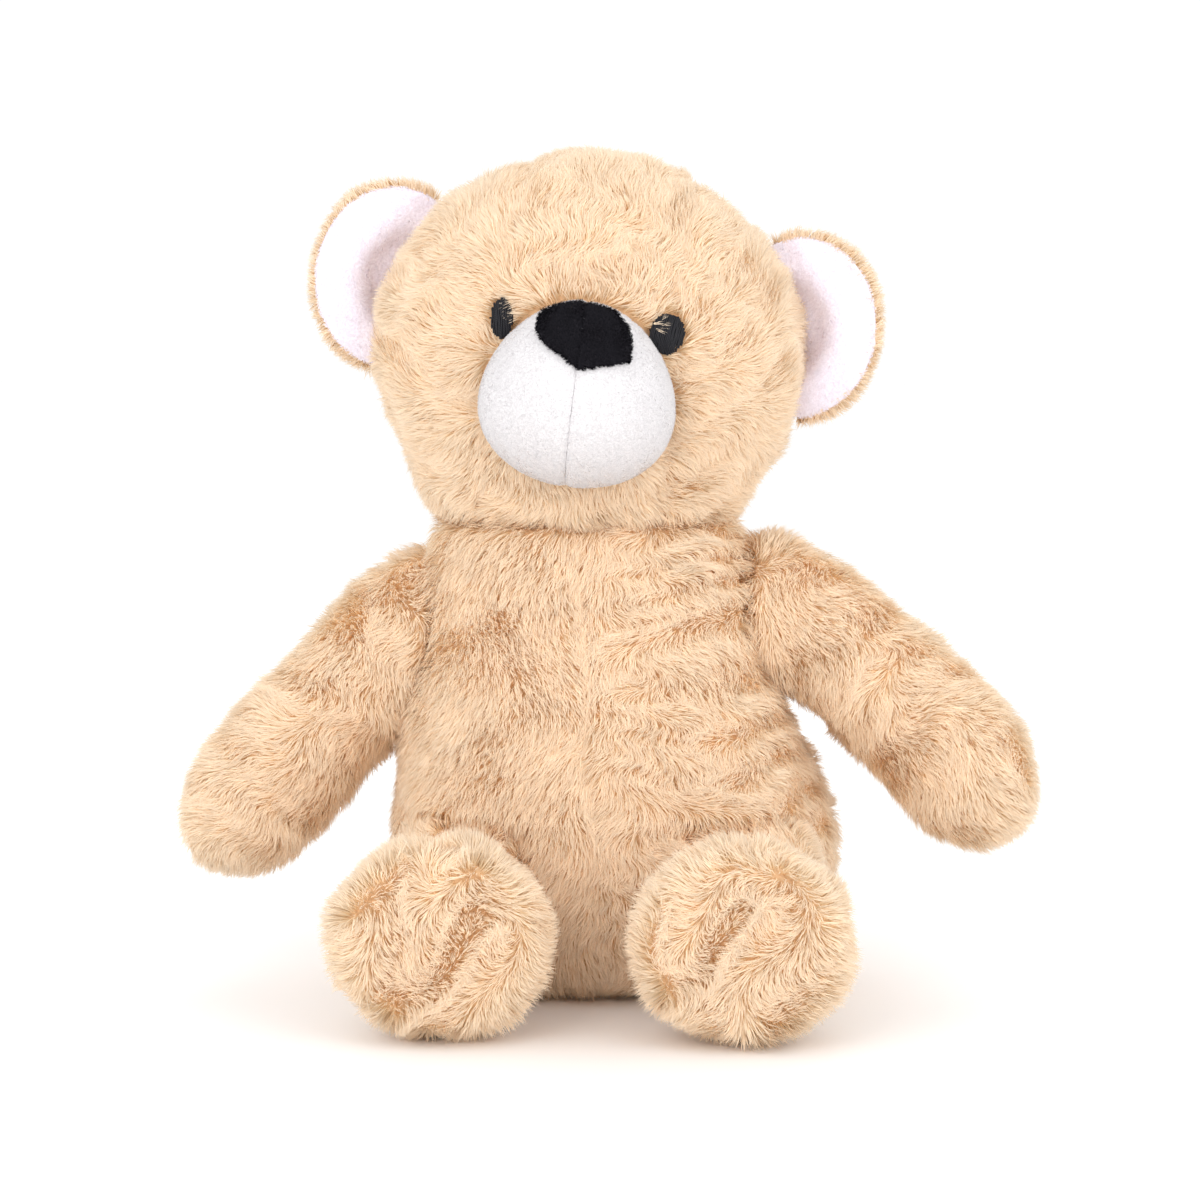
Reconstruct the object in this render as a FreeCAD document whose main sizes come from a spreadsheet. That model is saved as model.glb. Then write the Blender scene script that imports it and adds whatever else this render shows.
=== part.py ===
import FreeCAD, Part
import math
import os

# A sitting teddy bear, stuffed plush on five plastic doll joints. Millimetres, +Z up. The bear faces -Y and
# its own left is +X. The origin is the middle of the flat seat face. Soft outlines are taken at the mean
# height of the pile.

os.makedirs("parts", exist_ok=True)
doc = FreeCAD.newDocument("TeddyBear")
sheet = doc.addObject("Spreadsheet::Sheet", "Sizes")

X_AXIS = FreeCAD.Vector(1, 0, 0)
Y_AXIS = FreeCAD.Vector(0, 1, 0)
Z_AXIS = FreeCAD.Vector(0, 0, 1)
BIG = 400.0                       # longer than the bear, for cutting blocks
FACE_REACH = 80.0                 # from inside the head to past the muzzle
UNTURNED = FreeCAD.Rotation()

# ---------------------------------------------------------------- driving dimensions
SIZES = {
    "skin": 3.0,                  # plush with its backing
    "velour": 1.5,                # short-pile cloth of the muzzle and the ear linings
    "ease": 0.3,                  # gap between two layers of one body
    "joint_gap": 0.5,             # gap between two bodies at a joint face
    "half_seam": 0.05,            # from the middle of the face to each half of the muzzle and the nose
    "torso_back": 2.0,            # the torso's middle stands this far behind the hip line's front
    "side_seam": 4.0,             # where the front and back quarters of the torso meet
    "torso_lean": 9.3,            # sideways shift of the torso's top
    "lean_start": 45.0,
    "neck_height": 151.7,
    "neck_shift": -6.7,
    "shoulder_plane": 51.0,       # from the torso's own centre line to the joint face
    "shoulder_right_height": 121.5,
    "shoulder_left_height": 126.5,
    "shoulder_forward": -2.0,
    "shoulder_dish": 24.5,
    "shoulder_dish_depth": 160.0,
    "shoulder_dish_mouth": 249.5,
    "hip_height": 28.5,
    "hip_forward": 30.0,
    "hip_plane": 23.0,
    "hip_pocket_gap": 1.2,
    "thigh_width": 44.0,
    "thigh_radius": 27.8,
    "thigh_round": 9.0,           # fillet of the thigh's outer rim
    "thigh_inner_round": 2.0,     # fillet of its rim at the joint face
    "foot_rise": 3.8,
    "sole_seam": 4.0,             # the sole starts this far past the ball of the foot
    "head_height": 208.5,
    "head_shift": -7.0,
    "head_roll": 7.0,
    "head_turn": 2.0,
    "neck_ease": 3.5,             # the head's neck end moves back over the torso by this much
    "neck_ease_start": -30.0,
    "gusset_width": 54.0,
    "muzzle_width": 60.0,
    "muzzle_length": 64.0,
    "muzzle_tall": 58.0,
    "muzzle_forward": 55.0,
    "muzzle_drop": 15.8,
    "nose_width": 29.0,
    "nose_tall": 21.0,
    "nose_thick": 4.0,
    "nose_rise": 2.8,
    "nose_start": 40.0,           # from the head's middle to the back of the nose's outline
    "nose_corner": 12.47,         # half the width of the nose's top edge
    "nose_shoulder": 7.56,        # rise of that edge's ends over the nose's middle
    "nose_point": 1.05,           # rise of the nose's side points
    "eye_width": 11.0,
    "eye_tall": 12.8,
    "eye_spacing": 51.0,
    "eye_rise": 5.2,
    "eye_thick": 1.2,
    "ear_width": 54.0,
    "ear_thick": 26.0,
    "ear_tall": 63.0,
    "ear_spacing": 132.0,
    "ear_rise": 10.5,
    "ear_set_back": 6.0,
    "ear_turn": 16.0,
    "ear_wall": 5.0,
    "ear_rim": 5.0,
    "lining_gap": 0.1,
    "arm_right_start": 3.0,
    "arm_right_out": 61.5,
    "arm_right_drop": 70.0,
    "arm_right_bow": 0.5,
    "arm_left_start": 7.0,
    "arm_left_out": 64.0,
    "arm_left_drop": 61.0,
    "arm_left_bow": 4.0,
    "arm_forward_tilt": 7.0,
    "stem_radius": 4.0,
    "stem_length": 15.0,
    "stem_bore": 4.05,
    "skin_hole": 4.8,
    "washer_bore": 4.03,
    "washer_thick": 3.0,
    "washer_radius": 9.0,
    "disc_thick": 2.4,
    "disc_gap": 0.1,              # between a disc and the skin it presses on
    "disc_chamfer": 0.6,
    "shoulder_disc": 14.5,
    "hip_disc": 18.0,
    "neck_disc": 25.0,
    "rib_thick": 1.2,
    "rib_tall": 1.8,
    "tooth_pitch": 1.6,           # of the grooves that hold the lock washer on the stem
    "tooth_deep": 0.45,
    "notch_width": 1.6,           # of the slots that let the lock washer spring
}

# Each soft bag is a loft through ellipses: name, place along the bag's own axis, half width, half depth.
TORSO = [("seat", 0.0, 50.0, 40.0), ("hem", 5.0, 60.0, 47.5), ("hip", 18.0, 69.5, 54.5),
         ("belly", 44.0, 74.3, 58.0), ("waist", 76.0, 67.0, 54.0), ("chest", 108.0, 60.0, 48.0),
         ("shoulder", 132.0, 54.5, 42.5), ("collar", 146.0, 51.0, 40.0), ("neck", 151.45, 49.0, 38.0)]
HEAD = [("neck", -66.0, 45.0, 36.0), ("throat", -50.0, 54.0, 44.0), ("jaw", -36.0, 61.0, 49.0),
        ("cheek", -22.0, 66.8, 53.0), ("middle", -6.0, 69.8, 56.0), ("eyes", 10.0, 67.8, 55.5),
        ("brow", 26.0, 60.8, 51.0), ("temple", 40.0, 48.2, 42.0), ("crown", 51.0, 32.5, 30.0),
        ("top", 57.5, 18.0, 17.0), ("tip", 59.5, 6.0, 5.5)]
LEG = [("root", -6.0, 16.0, 16.0), ("thigh", 6.0, 21.5, 21.0), ("knee", 34.0, 22.5, 22.5),
       ("shin", 47.0, 27.0, 26.0), ("heel", 59.0, 33.2, 30.8), ("ball", 70.0, 35.0, 32.0),
       ("edge", 78.5, 32.5, 29.8), ("sole", 84.5, 24.0, 22.0), ("pad", 86.5, 8.0, 7.2)]
ARM = [("root", -19.5, 8.8, 8.4), ("seam", -12.0, 17.4, 16.6), ("shoulder", 0.0, 21.8, 20.8),
       ("upper", 30.0, 23.0, 21.8), ("middle", 58.0, 24.2, 22.6), ("paw", 88.0, 23.8, 22.0),
       ("palm", 101.5, 18.8, 17.6), ("finger", 108.5, 11.6, 11.0), ("tip", 111.0, 4.6, 4.4)]
BAGS = {"torso": TORSO, "head": HEAD, "leg": LEG, "arm": ARM}


def add_sizes():
    """Write the sizes and the sections to the sheet, one row each, under their aliases."""
    values = dict(SIZES)
    for bag, sections in BAGS.items():
        for name, place, half_width, half_depth in sections:
            values["%s_%s_place" % (bag, name)] = place
            values["%s_%s_width" % (bag, name)] = half_width
            values["%s_%s_depth" % (bag, name)] = half_depth
    for row, (alias, value) in enumerate(values.items(), start=1):
        cell = "B%d" % row
        sheet.set("A%d" % row, alias)
        sheet.set(cell, str(value))
        sheet.setAlias(cell, alias)
    doc.recompute()


add_sizes()


def dim(alias):
    return float(sheet.get(alias))


def bind(thing, prop, expression):
    """Drive a property from the sheet; words in the expression are aliases."""
    words = expression.replace("(", " ( ").replace(")", " ) ").split()
    thing.setExpression(prop, " ".join("Sizes." + w if w[0].isalpha() else w for w in words))


# ---------------------------------------------------------------- small tools
def place_at(x, y, z, rotation=UNTURNED):
    return FreeCAD.Placement(FreeCAD.Vector(x, y, z), rotation)


def ellipse(bag, name, grow, placement):
    """One section of a bag; grow is plus or minus the name of a thickness, or empty."""
    section = doc.addObject("Part::Ellipse", "Section")
    bind(section, "MajorRadius", "%s_%s_width %s" % (bag, name, grow))
    bind(section, "MinorRadius", "%s_%s_depth %s" % (bag, name, grow))
    section.Placement = placement
    return section


def loft(sections, label):
    solid = doc.addObject("Part::Loft", label)
    solid.Sections = sections
    solid.Solid = True
    solid.Ruled = False
    return solid


def cut(base, tool, label="Cut"):
    result = doc.addObject("Part::Cut", label)
    result.Base = base
    result.Tool = tool
    return result


def common(first, second, label="Common"):
    result = doc.addObject("Part::MultiCommon", label)
    result.Shapes = [first, second]
    return result


def fuse(shapes, label="Fuse"):
    result = doc.addObject("Part::MultiFuse", label)
    result.Shapes = shapes
    return result


def box(low, high, placement=None):
    block = doc.addObject("Part::Box", "Block")
    block.Length = high[0] - low[0]
    block.Width = high[1] - low[1]
    block.Height = high[2] - low[2]
    block.Placement = (placement or FreeCAD.Placement()).multiply(place_at(*low))
    return block


def cylinder(radius, height, placement):
    """A cylinder along its placement's own Z, bound to the sheet."""
    rod = doc.addObject("Part::Cylinder", "Rod")
    bind(rod, "Radius", radius)
    bind(rod, "Height", height)
    rod.Placement = placement
    return rod


def ellipsoid(half_x, half_y, half_z, placement):
    """An egg with its seam line at the back, where no other face crosses it."""
    egg = doc.addObject("Part::Ellipsoid", "Egg")
    bind(egg, "Radius1", half_z)
    bind(egg, "Radius2", half_y)
    bind(egg, "Radius3", half_x)
    egg.Placement = placement.multiply(place_at(0, 0, 0, FreeCAD.Rotation(Z_AXIS, 90)))
    return egg


def grown(grow):
    """How far a signed thickness such as '- skin' moves a surface, in millimetres."""
    amount = 0.0
    words = grow.split()
    for sign, word in zip(words[0::2], words[1::2]):
        size = dim(word) if word[0].isalpha() else float(word)
        amount += size if sign == "+" else -size
    return amount


# ---------------------------------------------------------------- joints
OUTWARD_LEFT = FreeCAD.Rotation(Z_AXIS, X_AXIS)
OUTWARD_RIGHT = FreeCAD.Rotation(Z_AXIS, -X_AXIS)


def torso_shift(height):
    """The torso leans from its widest place up to the neck."""
    lean = max(0.0, height - dim("lean_start")) / (dim("neck_height") - dim("lean_start"))
    return -dim("torso_lean") * lean


def shoulder_x(side):
    height = dim("shoulder_left_height") if side > 0 else dim("shoulder_right_height")
    return torso_shift(height) + side * dim("shoulder_plane")


def joint_place(joint):
    """A joint's face: its middle, with its own Z pointing out of the torso."""
    if joint == "neck":
        return place_at(dim("neck_shift"), 0, dim("neck_height"))
    side = 1 if joint.endswith("left") else -1
    outward = OUTWARD_LEFT if side > 0 else OUTWARD_RIGHT
    if joint.startswith("hip"):
        x = side * (dim("hip_plane") + dim("joint_gap") / 2)
        return place_at(x, -dim("hip_forward"), dim("hip_height"), outward)
    return place_at(shoulder_x(side), -dim("shoulder_forward"), dim(joint + "_height"), outward)


JOINT_DISCS = {"neck": "neck_disc", "shoulder_left": "shoulder_disc", "shoulder_right": "shoulder_disc",
               "hip_left": "hip_disc", "hip_right": "hip_disc"}


def along(placement, distance):
    """The same frame, moved along its own Z."""
    return placement.multiply(place_at(0, 0, distance))


def stem_hole(joint):
    """A rod that opens both skins round a joint's stem."""
    depth = dim("skin") + dim("joint_gap")
    return cylinder("skin_hole", "2 * ( skin + joint_gap )", along(joint_place(joint), -depth))


def limb_room(joint):
    """Space in a limb's stuffing for the stem disc."""
    start = dim("joint_gap") / 2 + dim("skin") - dim("ease")
    return cylinder(JOINT_DISCS[joint] + " + ease", "disc_thick + rib_tall + 2 * ease",
                    along(joint_place(joint), start))


def torso_room(joint):
    """Space in the torso's stuffing for the torso disc, the lock washer and the stem's end."""
    depth = dim("joint_gap") / 2 + dim("stem_length") + dim("ease")
    return cylinder(JOINT_DISCS[joint] + " + ease", "stem_length + ease", along(joint_place(joint), -depth))


# ---------------------------------------------------------------- joint hardware, three turned plastic pieces
def origin_plane(body, role):
    return next(f for f in body.Origin.OriginFeatures if f.Role == role)


def new_body(label, placement):
    body = doc.addObject("PartDesign::Body", "Turned")
    body.Label = label
    body.Placement = placement
    return body


def sketch_on(body, role, name):
    sketch = body.newObject("Sketcher::SketchObject", name)
    sketch.AttachmentSupport = [(origin_plane(body, role), "")]
    sketch.MapMode = "FlatFace"
    return sketch


def outline(sketch, points):
    """A closed polygon."""
    for start, end in zip(points, points[1:] + points[:1]):
        first = FreeCAD.Vector(start[0], start[1], 0)
        last = FreeCAD.Vector(end[0], end[1], 0)
        sketch.addGeometry(Part.LineSegment(first, last), False)


def revolve(body, sketch):
    turned = body.newObject("PartDesign::Revolution", "Turning")
    turned.Profile = sketch
    turned.ReferenceAxis = (sketch, ["V_Axis"])
    turned.Angle = 360.0
    return turned


def rib_ring(body, count, inner, outer, bottom, top):
    """Radial ribs on a disc, one drawn and the rest patterned."""
    doc.recompute()
    sketch = sketch_on(body, "XZ_Plane", "RibProfile")
    outline(sketch, [(inner, bottom), (outer, bottom), (inner, top)])
    rib = body.newObject("PartDesign::Pad", "Rib")
    rib.Profile = sketch
    rib.Length = dim("rib_thick")
    rib.Midplane = True
    pattern = body.newObject("PartDesign::PolarPattern", "Ribs")
    pattern.Originals = [rib]
    pattern.Axis = (next(f for f in body.Origin.OriginFeatures if f.Role == "Z_Axis"), [""])
    pattern.Angle = 360
    pattern.Occurrences = count
    body.Tip = pattern


def stem_disc(joint, label):
    """The limb's disc, with its stem pointing into the torso and teeth that hold the lock washer."""
    body = new_body(label, joint_place(joint))
    radius = dim(JOINT_DISCS[joint])
    stem = dim("stem_radius")
    chamfer = dim("disc_chamfer")
    near = dim("joint_gap") / 2 + dim("skin") + dim("disc_gap")
    far = near + dim("disc_thick")
    end = dim("disc_chamfer") - dim("joint_gap") / 2 - dim("stem_length")
    pitch = dim("tooth_pitch")
    groove = stem - dim("tooth_deep")
    teeth_start = -near - dim("disc_thick") - dim("washer_thick") - pitch
    profile = [(0, end), (stem - 2 * chamfer, end), (stem, end + 2 * chamfer)]
    for tooth in (1, 0):
        height = teeth_start - pitch * tooth
        profile += [(stem, height), (groove, height + pitch / 16), (groove, height + pitch * 3 / 8),
                    (stem, height + pitch * 11 / 16)]
    profile += [(stem, near), (radius - chamfer, near), (radius, near + chamfer), (radius, far - chamfer),
                (radius - chamfer, far), (0, far)]
    sketch = sketch_on(body, "XZ_Plane", "Profile")
    outline(sketch, profile)
    revolve(body, sketch)
    rib_ring(body, 8, stem / 2, radius - stem / 2, far - dim("disc_gap"), far + dim("rib_tall"))
    return body


def torso_disc(joint, label):
    """The plain disc inside the torso skin; the stem turns in its bore."""
    body = new_body(label, joint_place(joint))
    radius = dim(JOINT_DISCS[joint])
    chamfer = dim("disc_chamfer")
    near = -dim("joint_gap") / 2 - dim("skin") - dim("disc_gap")
    far = near - dim("disc_thick")
    bore = dim("stem_bore")
    sketch = sketch_on(body, "XZ_Plane", "Profile")
    outline(sketch, [(bore, near), (radius - chamfer, near), (radius, near - chamfer), (radius, far + chamfer),
                     (radius - chamfer, far), (bore, far)])
    revolve(body, sketch)
    return body


def lock_washer(joint, label):
    """The washer pushed over the stem; it turns with the limb and bears on the torso disc."""
    body = new_body(label, joint_place(joint))
    near = -dim("joint_gap") / 2 - dim("skin") - dim("disc_gap") - dim("disc_thick") - dim("ease")
    thick = dim("washer_thick")
    far = near - thick
    bore = dim("washer_bore")
    radius = dim("washer_radius")
    collar = (bore + radius) / 2
    sketch = sketch_on(body, "XZ_Plane", "Profile")
    outline(sketch, [(bore, near), (radius, near), (radius, near - thick / 2), (collar, far), (bore, far)])
    revolve(body, sketch)
    doc.recompute()
    notch_sketch = sketch_on(body, "XY_Plane", "NotchProfile")
    slot = dim("notch_width") / 2
    past = radius + thick
    outline(notch_sketch, [(collar, -slot), (past, -slot), (past, slot), (collar, slot)])
    notch = body.newObject("PartDesign::Pocket", "Notch")
    notch.Profile = notch_sketch
    notch.Type = "ThroughAll"
    notch.Midplane = True
    pattern = body.newObject("PartDesign::PolarPattern", "Notches")
    pattern.Originals = [notch]
    pattern.Axis = (next(f for f in body.Origin.OriginFeatures if f.Role == "Z_Axis"), [""])
    pattern.Angle = 360
    pattern.Occurrences = 6
    body.Tip = pattern
    return body


# ---------------------------------------------------------------- torso
def torso_bag(grow):
    """The torso's closed outline, leaning a little, with room for the arms and pockets for the thighs."""
    inset = -grown(grow)
    sections = []
    for name, _, _, _ in TORSO:
        height = dim("torso_%s_place" % name)
        height = min(max(height, inset), dim("torso_neck_place") - inset)
        if inset > 0 and name in ("hem", "collar"):
            continue
        sections.append(ellipse("torso", name, grow, place_at(torso_shift(height), dim("torso_back"), height)))
    bag = loft(sections, "TorsoBag")
    tools = []
    for side in (1, -1):
        tools.append(shoulder_dish(side, inset + dim("joint_gap") / 2))
        tools.append(hip_pocket(side, inset))
    return cut(bag, fuse(tools))


def shoulder_dish(side, inset):
    """The arm's room: a flat disc that opens outward as a cone, so that the arm swings all round."""
    joint = joint_place("shoulder_left" if side > 0 else "shoulder_right")
    spread = (dim("shoulder_dish_mouth") - dim("shoulder_dish")) / dim("shoulder_dish_depth")
    sideways = inset * (math.sqrt(1 + spread ** 2) - spread)
    dish = doc.addObject("Part::Cone", "ShoulderDish")
    dish.Radius1 = dim("shoulder_dish") + sideways
    dish.Radius2 = dim("shoulder_dish_mouth") + sideways
    dish.Height = dim("shoulder_dish_depth")
    dish.Placement = along(joint, -inset)
    return dish


def hip_pocket(side, inset):
    """Room for a thigh: a round seat about the hip axis, open to the front, below and to the side."""
    radius = dim("thigh_radius") + dim("hip_pocket_gap") + inset
    inner = dim("hip_plane") - inset
    turn = OUTWARD_LEFT if side > 0 else OUTWARD_RIGHT
    seat = doc.addObject("Part::Cylinder", "HipSeat")
    seat.Radius = radius
    seat.Height = BIG
    seat.Placement = place_at(side * inner, -dim("hip_forward"), dim("hip_height"), turn)
    low, high = (inner, BIG) if side > 0 else (-BIG, -inner)
    front = box((low, -BIG, -BIG), (high, -dim("hip_forward"), dim("hip_height") + radius))
    below = box((low, -BIG, -BIG), (high, -dim("hip_forward") + radius, dim("hip_height")))
    return fuse([seat, front, below])


def make_torso():
    joints = list(JOINT_DISCS)
    skin = cut(cut(torso_bag(""), torso_bag("- skin")), fuse([stem_hole(j) for j in joints]))
    seam = dim("skin")
    side = dim("side_seam")
    quarters = {
        "torso_front_left": ((0, -BIG, -BIG), (BIG, side, BIG)),
        "torso_front_right": ((-BIG, -BIG, -BIG), (0, side, BIG)),
        "torso_back_left": ((0, side, -BIG), (BIG, BIG, BIG)),
        "torso_back_right": ((-BIG, side, -BIG), (0, BIG, BIG)),
    }
    lean = FreeCAD.Rotation(Y_AXIS, -math.degrees(math.atan(dim("torso_lean") / dim("neck_height"))))
    upright = place_at(0, 0, 0, lean)
    above_seat = box((-BIG, -BIG, seam), (BIG, BIG, BIG))
    pieces = {"seat_panel": common(skin, box((-BIG, -BIG, -BIG), (BIG, BIG, seam)))}
    for name, (low, high) in quarters.items():
        pieces[name] = common(skin, common(box(low, high, upright), above_seat))
    filling = torso_bag("- skin - ease")
    pieces["torso_stuffing"] = cut(filling, fuse([torso_room(j) for j in joints]))
    for joint in joints:
        pieces[joint + "_torso_disc"] = torso_disc(joint, joint + "_torso_disc")
    return pieces


# ---------------------------------------------------------------- head
HEAD_TURN = FreeCAD.Rotation(Z_AXIS, dim("head_turn")).multiply(FreeCAD.Rotation(Y_AXIS, dim("head_roll")))
HEAD_PLACE = FreeCAD.Placement(FreeCAD.Vector(dim("head_shift"), 0, dim("head_height")), HEAD_TURN)


def head_bag(grow):
    """The head's closed outline, rolled towards its own left ear and cut flat at the neck."""
    amount = grown(grow)
    sections = []
    top = dim("head_tip_place") + amount
    ease_start = dim("neck_ease_start")
    ease_reach = ease_start - dim("head_neck_place")
    for name, _, _, _ in HEAD:
        height = min(dim("head_%s_place" % name), top)
        if amount < -dim("velour") and name == "tip":
            continue
        if amount < -dim("velour") and name == "top":
            height = top
        shift = dim("neck_ease") * max(0.0, ease_start - height) / ease_reach
        sections.append(ellipse("head", name, grow, HEAD_PLACE.multiply(place_at(shift, 0, height))))
    floor = dim("neck_height") + dim("joint_gap") / 2 + max(0.0, -amount)
    return cut(loft(sections, "HeadBag"), box((-BIG, -BIG, -BIG), (BIG, BIG, floor)))


def in_head(x, y, z, rotation=UNTURNED):
    return HEAD_PLACE.multiply(place_at(x, y, z, rotation))


def muzzle_egg(grow):
    place = in_head(0, -dim("muzzle_forward"), -dim("muzzle_drop"))
    return ellipsoid("muzzle_width / 2 " + grow, "muzzle_length / 2 " + grow, "muzzle_tall / 2 " + grow, place)


def halves(solid, names):
    """Split a piece of the face at the head's middle."""
    gap = dim("half_seam")
    return {names[0]: common(solid, box((gap, -BIG, -BIG), (BIG, BIG, BIG), HEAD_PLACE)),
            names[1]: common(solid, box((-BIG, -BIG, -BIG), (-gap, BIG, BIG), HEAD_PLACE))}


def make_muzzle():
    face = head_bag("+ ease")
    cover = cut(cut(muzzle_egg(""), muzzle_egg("- velour")), face)
    pieces = halves(cover, ("muzzle_left", "muzzle_right"))
    pieces["muzzle_stuffing"] = cut(muzzle_egg("- velour - ease"), face)
    return pieces


def make_nose():
    """A padded triangle that lies on the top of the muzzle, in two halves with a seam between."""
    wide = dim("nose_width") / 2
    tall = dim("nose_tall") / 2
    corner = dim("nose_corner")
    shoulder = dim("nose_shoulder")
    point = dim("nose_point")
    sketch = doc.addObject("Sketcher::SketchObject", "NoseOutline")
    left = [(-wide, point), (-corner, shoulder), (0, tall)]
    outline(sketch, left[1:] + [(corner, shoulder), (wide, point), (0, -tall)] + left[:1])
    prism = doc.addObject("Part::Extrusion", "NosePrism")
    prism.Base = sketch
    prism.DirMode = "Normal"
    prism.LengthFwd = FACE_REACH
    prism.Solid = True
    sketch.Placement = in_head(0, -dim("nose_start"), dim("nose_rise"), FreeCAD.Rotation(X_AXIS, 90))
    pad = cut(common(prism, muzzle_egg("+ nose_thick")), muzzle_egg("+ lining_gap"))
    return halves(cut(pad, head_bag("+ ease")), ("nose_left", "nose_right"))


def make_eyes():
    pieces = {}
    face = cut(head_bag("+ ease + eye_thick"), head_bag("+ ease"))
    for name, side in (("eye_left", 1), ("eye_right", -1)):
        oval = doc.addObject("Part::Ellipse", "EyeOval")
        bind(oval, "MajorRadius", "eye_tall / 2")
        bind(oval, "MinorRadius", "eye_width / 2")
        upright = FreeCAD.Rotation(X_AXIS, 90).multiply(FreeCAD.Rotation(Z_AXIS, 90))
        oval.Placement = in_head(side * dim("eye_spacing") / 2, -dim("eye_width"), dim("eye_rise"), upright)
        plug = doc.addObject("Part::Extrusion", "EyePlug")
        plug.Base = oval
        plug.DirMode = "Custom"
        plug.Dir = HEAD_TURN.multVec(-Y_AXIS)
        plug.LengthFwd = FACE_REACH
        plug.Solid = True
        pieces[name] = cut(common(face, plug), muzzle_egg("+ ease"))
    return pieces


def make_ears():
    pieces = {}
    for name, side in (("left", 1), ("right", -1)):
        turn = FreeCAD.Rotation(Z_AXIS, -side * dim("ear_turn"))
        ear = in_head(side * dim("ear_spacing") / 2, dim("ear_set_back"), dim("ear_rise"), turn)
        hollow_place = ear.multiply(place_at(0, -dim("ear_thick") / 2 + dim("ear_wall") / 2, 0))
        body = ellipsoid("ear_width / 2", "ear_thick / 2", "ear_tall / 2", ear)
        body = common(body, box((-BIG, -dim("ear_rim"), -BIG), (BIG, BIG, BIG), ear))
        hollow = ellipsoid("ear_width / 2 - ear_wall", "ear_thick / 2", "ear_tall / 2 - ear_wall", hollow_place)
        lined = ellipsoid("ear_width / 2 - ear_wall + velour", "ear_thick / 2 + velour",
                          "ear_tall / 2 - ear_wall + velour", hollow_place)
        clear = ellipsoid("ear_width / 2 - ear_wall + velour + lining_gap",
                          "ear_thick / 2 + velour + lining_gap",
                          "ear_tall / 2 - ear_wall + velour + lining_gap", hollow_place)
        face = head_bag("+ ease")
        pieces["ear_back_" + name] = cut(cut(body, clear), face)
        pieces["ear_lining_" + name] = cut(cut(common(body, lined), hollow), face)
    return pieces


def make_head():
    skin = cut(cut(head_bag(""), head_bag("- skin")), stem_hole("neck"))
    half = dim("gusset_width") / 2
    pieces = {
        "head_gusset": common(skin, box((-half, -BIG, -BIG), (half, BIG, BIG), HEAD_PLACE)),
        "head_side_left": common(skin, box((half, -BIG, -BIG), (BIG, BIG, BIG), HEAD_PLACE)),
        "head_side_right": common(skin, box((-BIG, -BIG, -BIG), (-half, BIG, BIG), HEAD_PLACE)),
        "head_stuffing": cut(head_bag("- skin - ease"), limb_room("neck")),
    }
    pieces.update(make_muzzle())
    pieces.update(make_nose())
    pieces.update(make_eyes())
    pieces.update(make_ears())
    pieces["neck_stem_disc"] = stem_disc("neck", "neck_stem_disc")
    pieces["neck_lock_washer"] = lock_washer("neck", "neck_lock_washer")
    return pieces


# ---------------------------------------------------------------- arms
def arm_line(name):
    """Where the arm's line starts, the way it points and the way it bows."""
    side = 1 if name == "left" else -1
    start = joint_place("shoulder_" + name).Base + X_AXIS * side * dim("arm_%s_start" % name)
    out = dim("arm_%s_out" % name)
    drop = dim("arm_%s_drop" % name)
    forward = drop * math.tan(math.radians(dim("arm_forward_tilt")))
    direction = FreeCAD.Vector(side * out, -forward, -drop).normalize()
    return start, direction, direction.cross(Y_AXIS).normalize() * side


def arm_bag(name, grow):
    """A round sleeve from a domed shoulder to a blunt paw, held inside the shoulder's cone."""
    inset = -grown(grow)
    start, direction, across = arm_line(name)
    rotation = FreeCAD.Rotation(across, direction.cross(across), direction, "ZXY")
    tip = dim("arm_tip_place")
    sections = []
    for section, _, _, _ in ARM:
        distance = dim("arm_%s_place" % section)
        if section == "tip" and inset > 0:
            continue
        if section in ("palm", "finger"):
            distance -= inset
        if section in ("root", "seam"):
            distance += inset
        bow = dim("arm_%s_bow" % name) * math.sin(math.pi * max(0.0, min(1.0, distance / tip)))
        place = FreeCAD.Placement(start + direction * distance + across * bow, rotation)
        sections.append(ellipse("arm", section, grow, place))
    side = 1 if name == "left" else -1
    return common(loft(sections, "Sleeve"), shoulder_dish(side, -inset - dim("joint_gap") / 2))


def make_arm(name):
    joint = "shoulder_" + name
    skin = cut(cut(arm_bag(name, ""), arm_bag(name, "- skin")), stem_hole(joint))
    seam = place_at(0, 0, dim(joint + "_height"), FreeCAD.Rotation(X_AXIS, -dim("arm_forward_tilt")))
    return {
        "arm_%s_front_panel" % name: common(skin, box((-BIG, -BIG, -BIG), (BIG, 0, BIG), seam)),
        "arm_%s_back_panel" % name: common(skin, box((-BIG, 0, -BIG), (BIG, BIG, BIG), seam)),
        "arm_%s_stuffing" % name: cut(arm_bag(name, "- skin - ease"), limb_room(joint)),
        joint + "_stem_disc": stem_disc(joint, joint + "_stem_disc"),
        joint + "_lock_washer": lock_washer(joint, joint + "_lock_washer"),
    }


# ---------------------------------------------------------------- legs
FORWARD = FreeCAD.Rotation(X_AXIS, 90)


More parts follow.
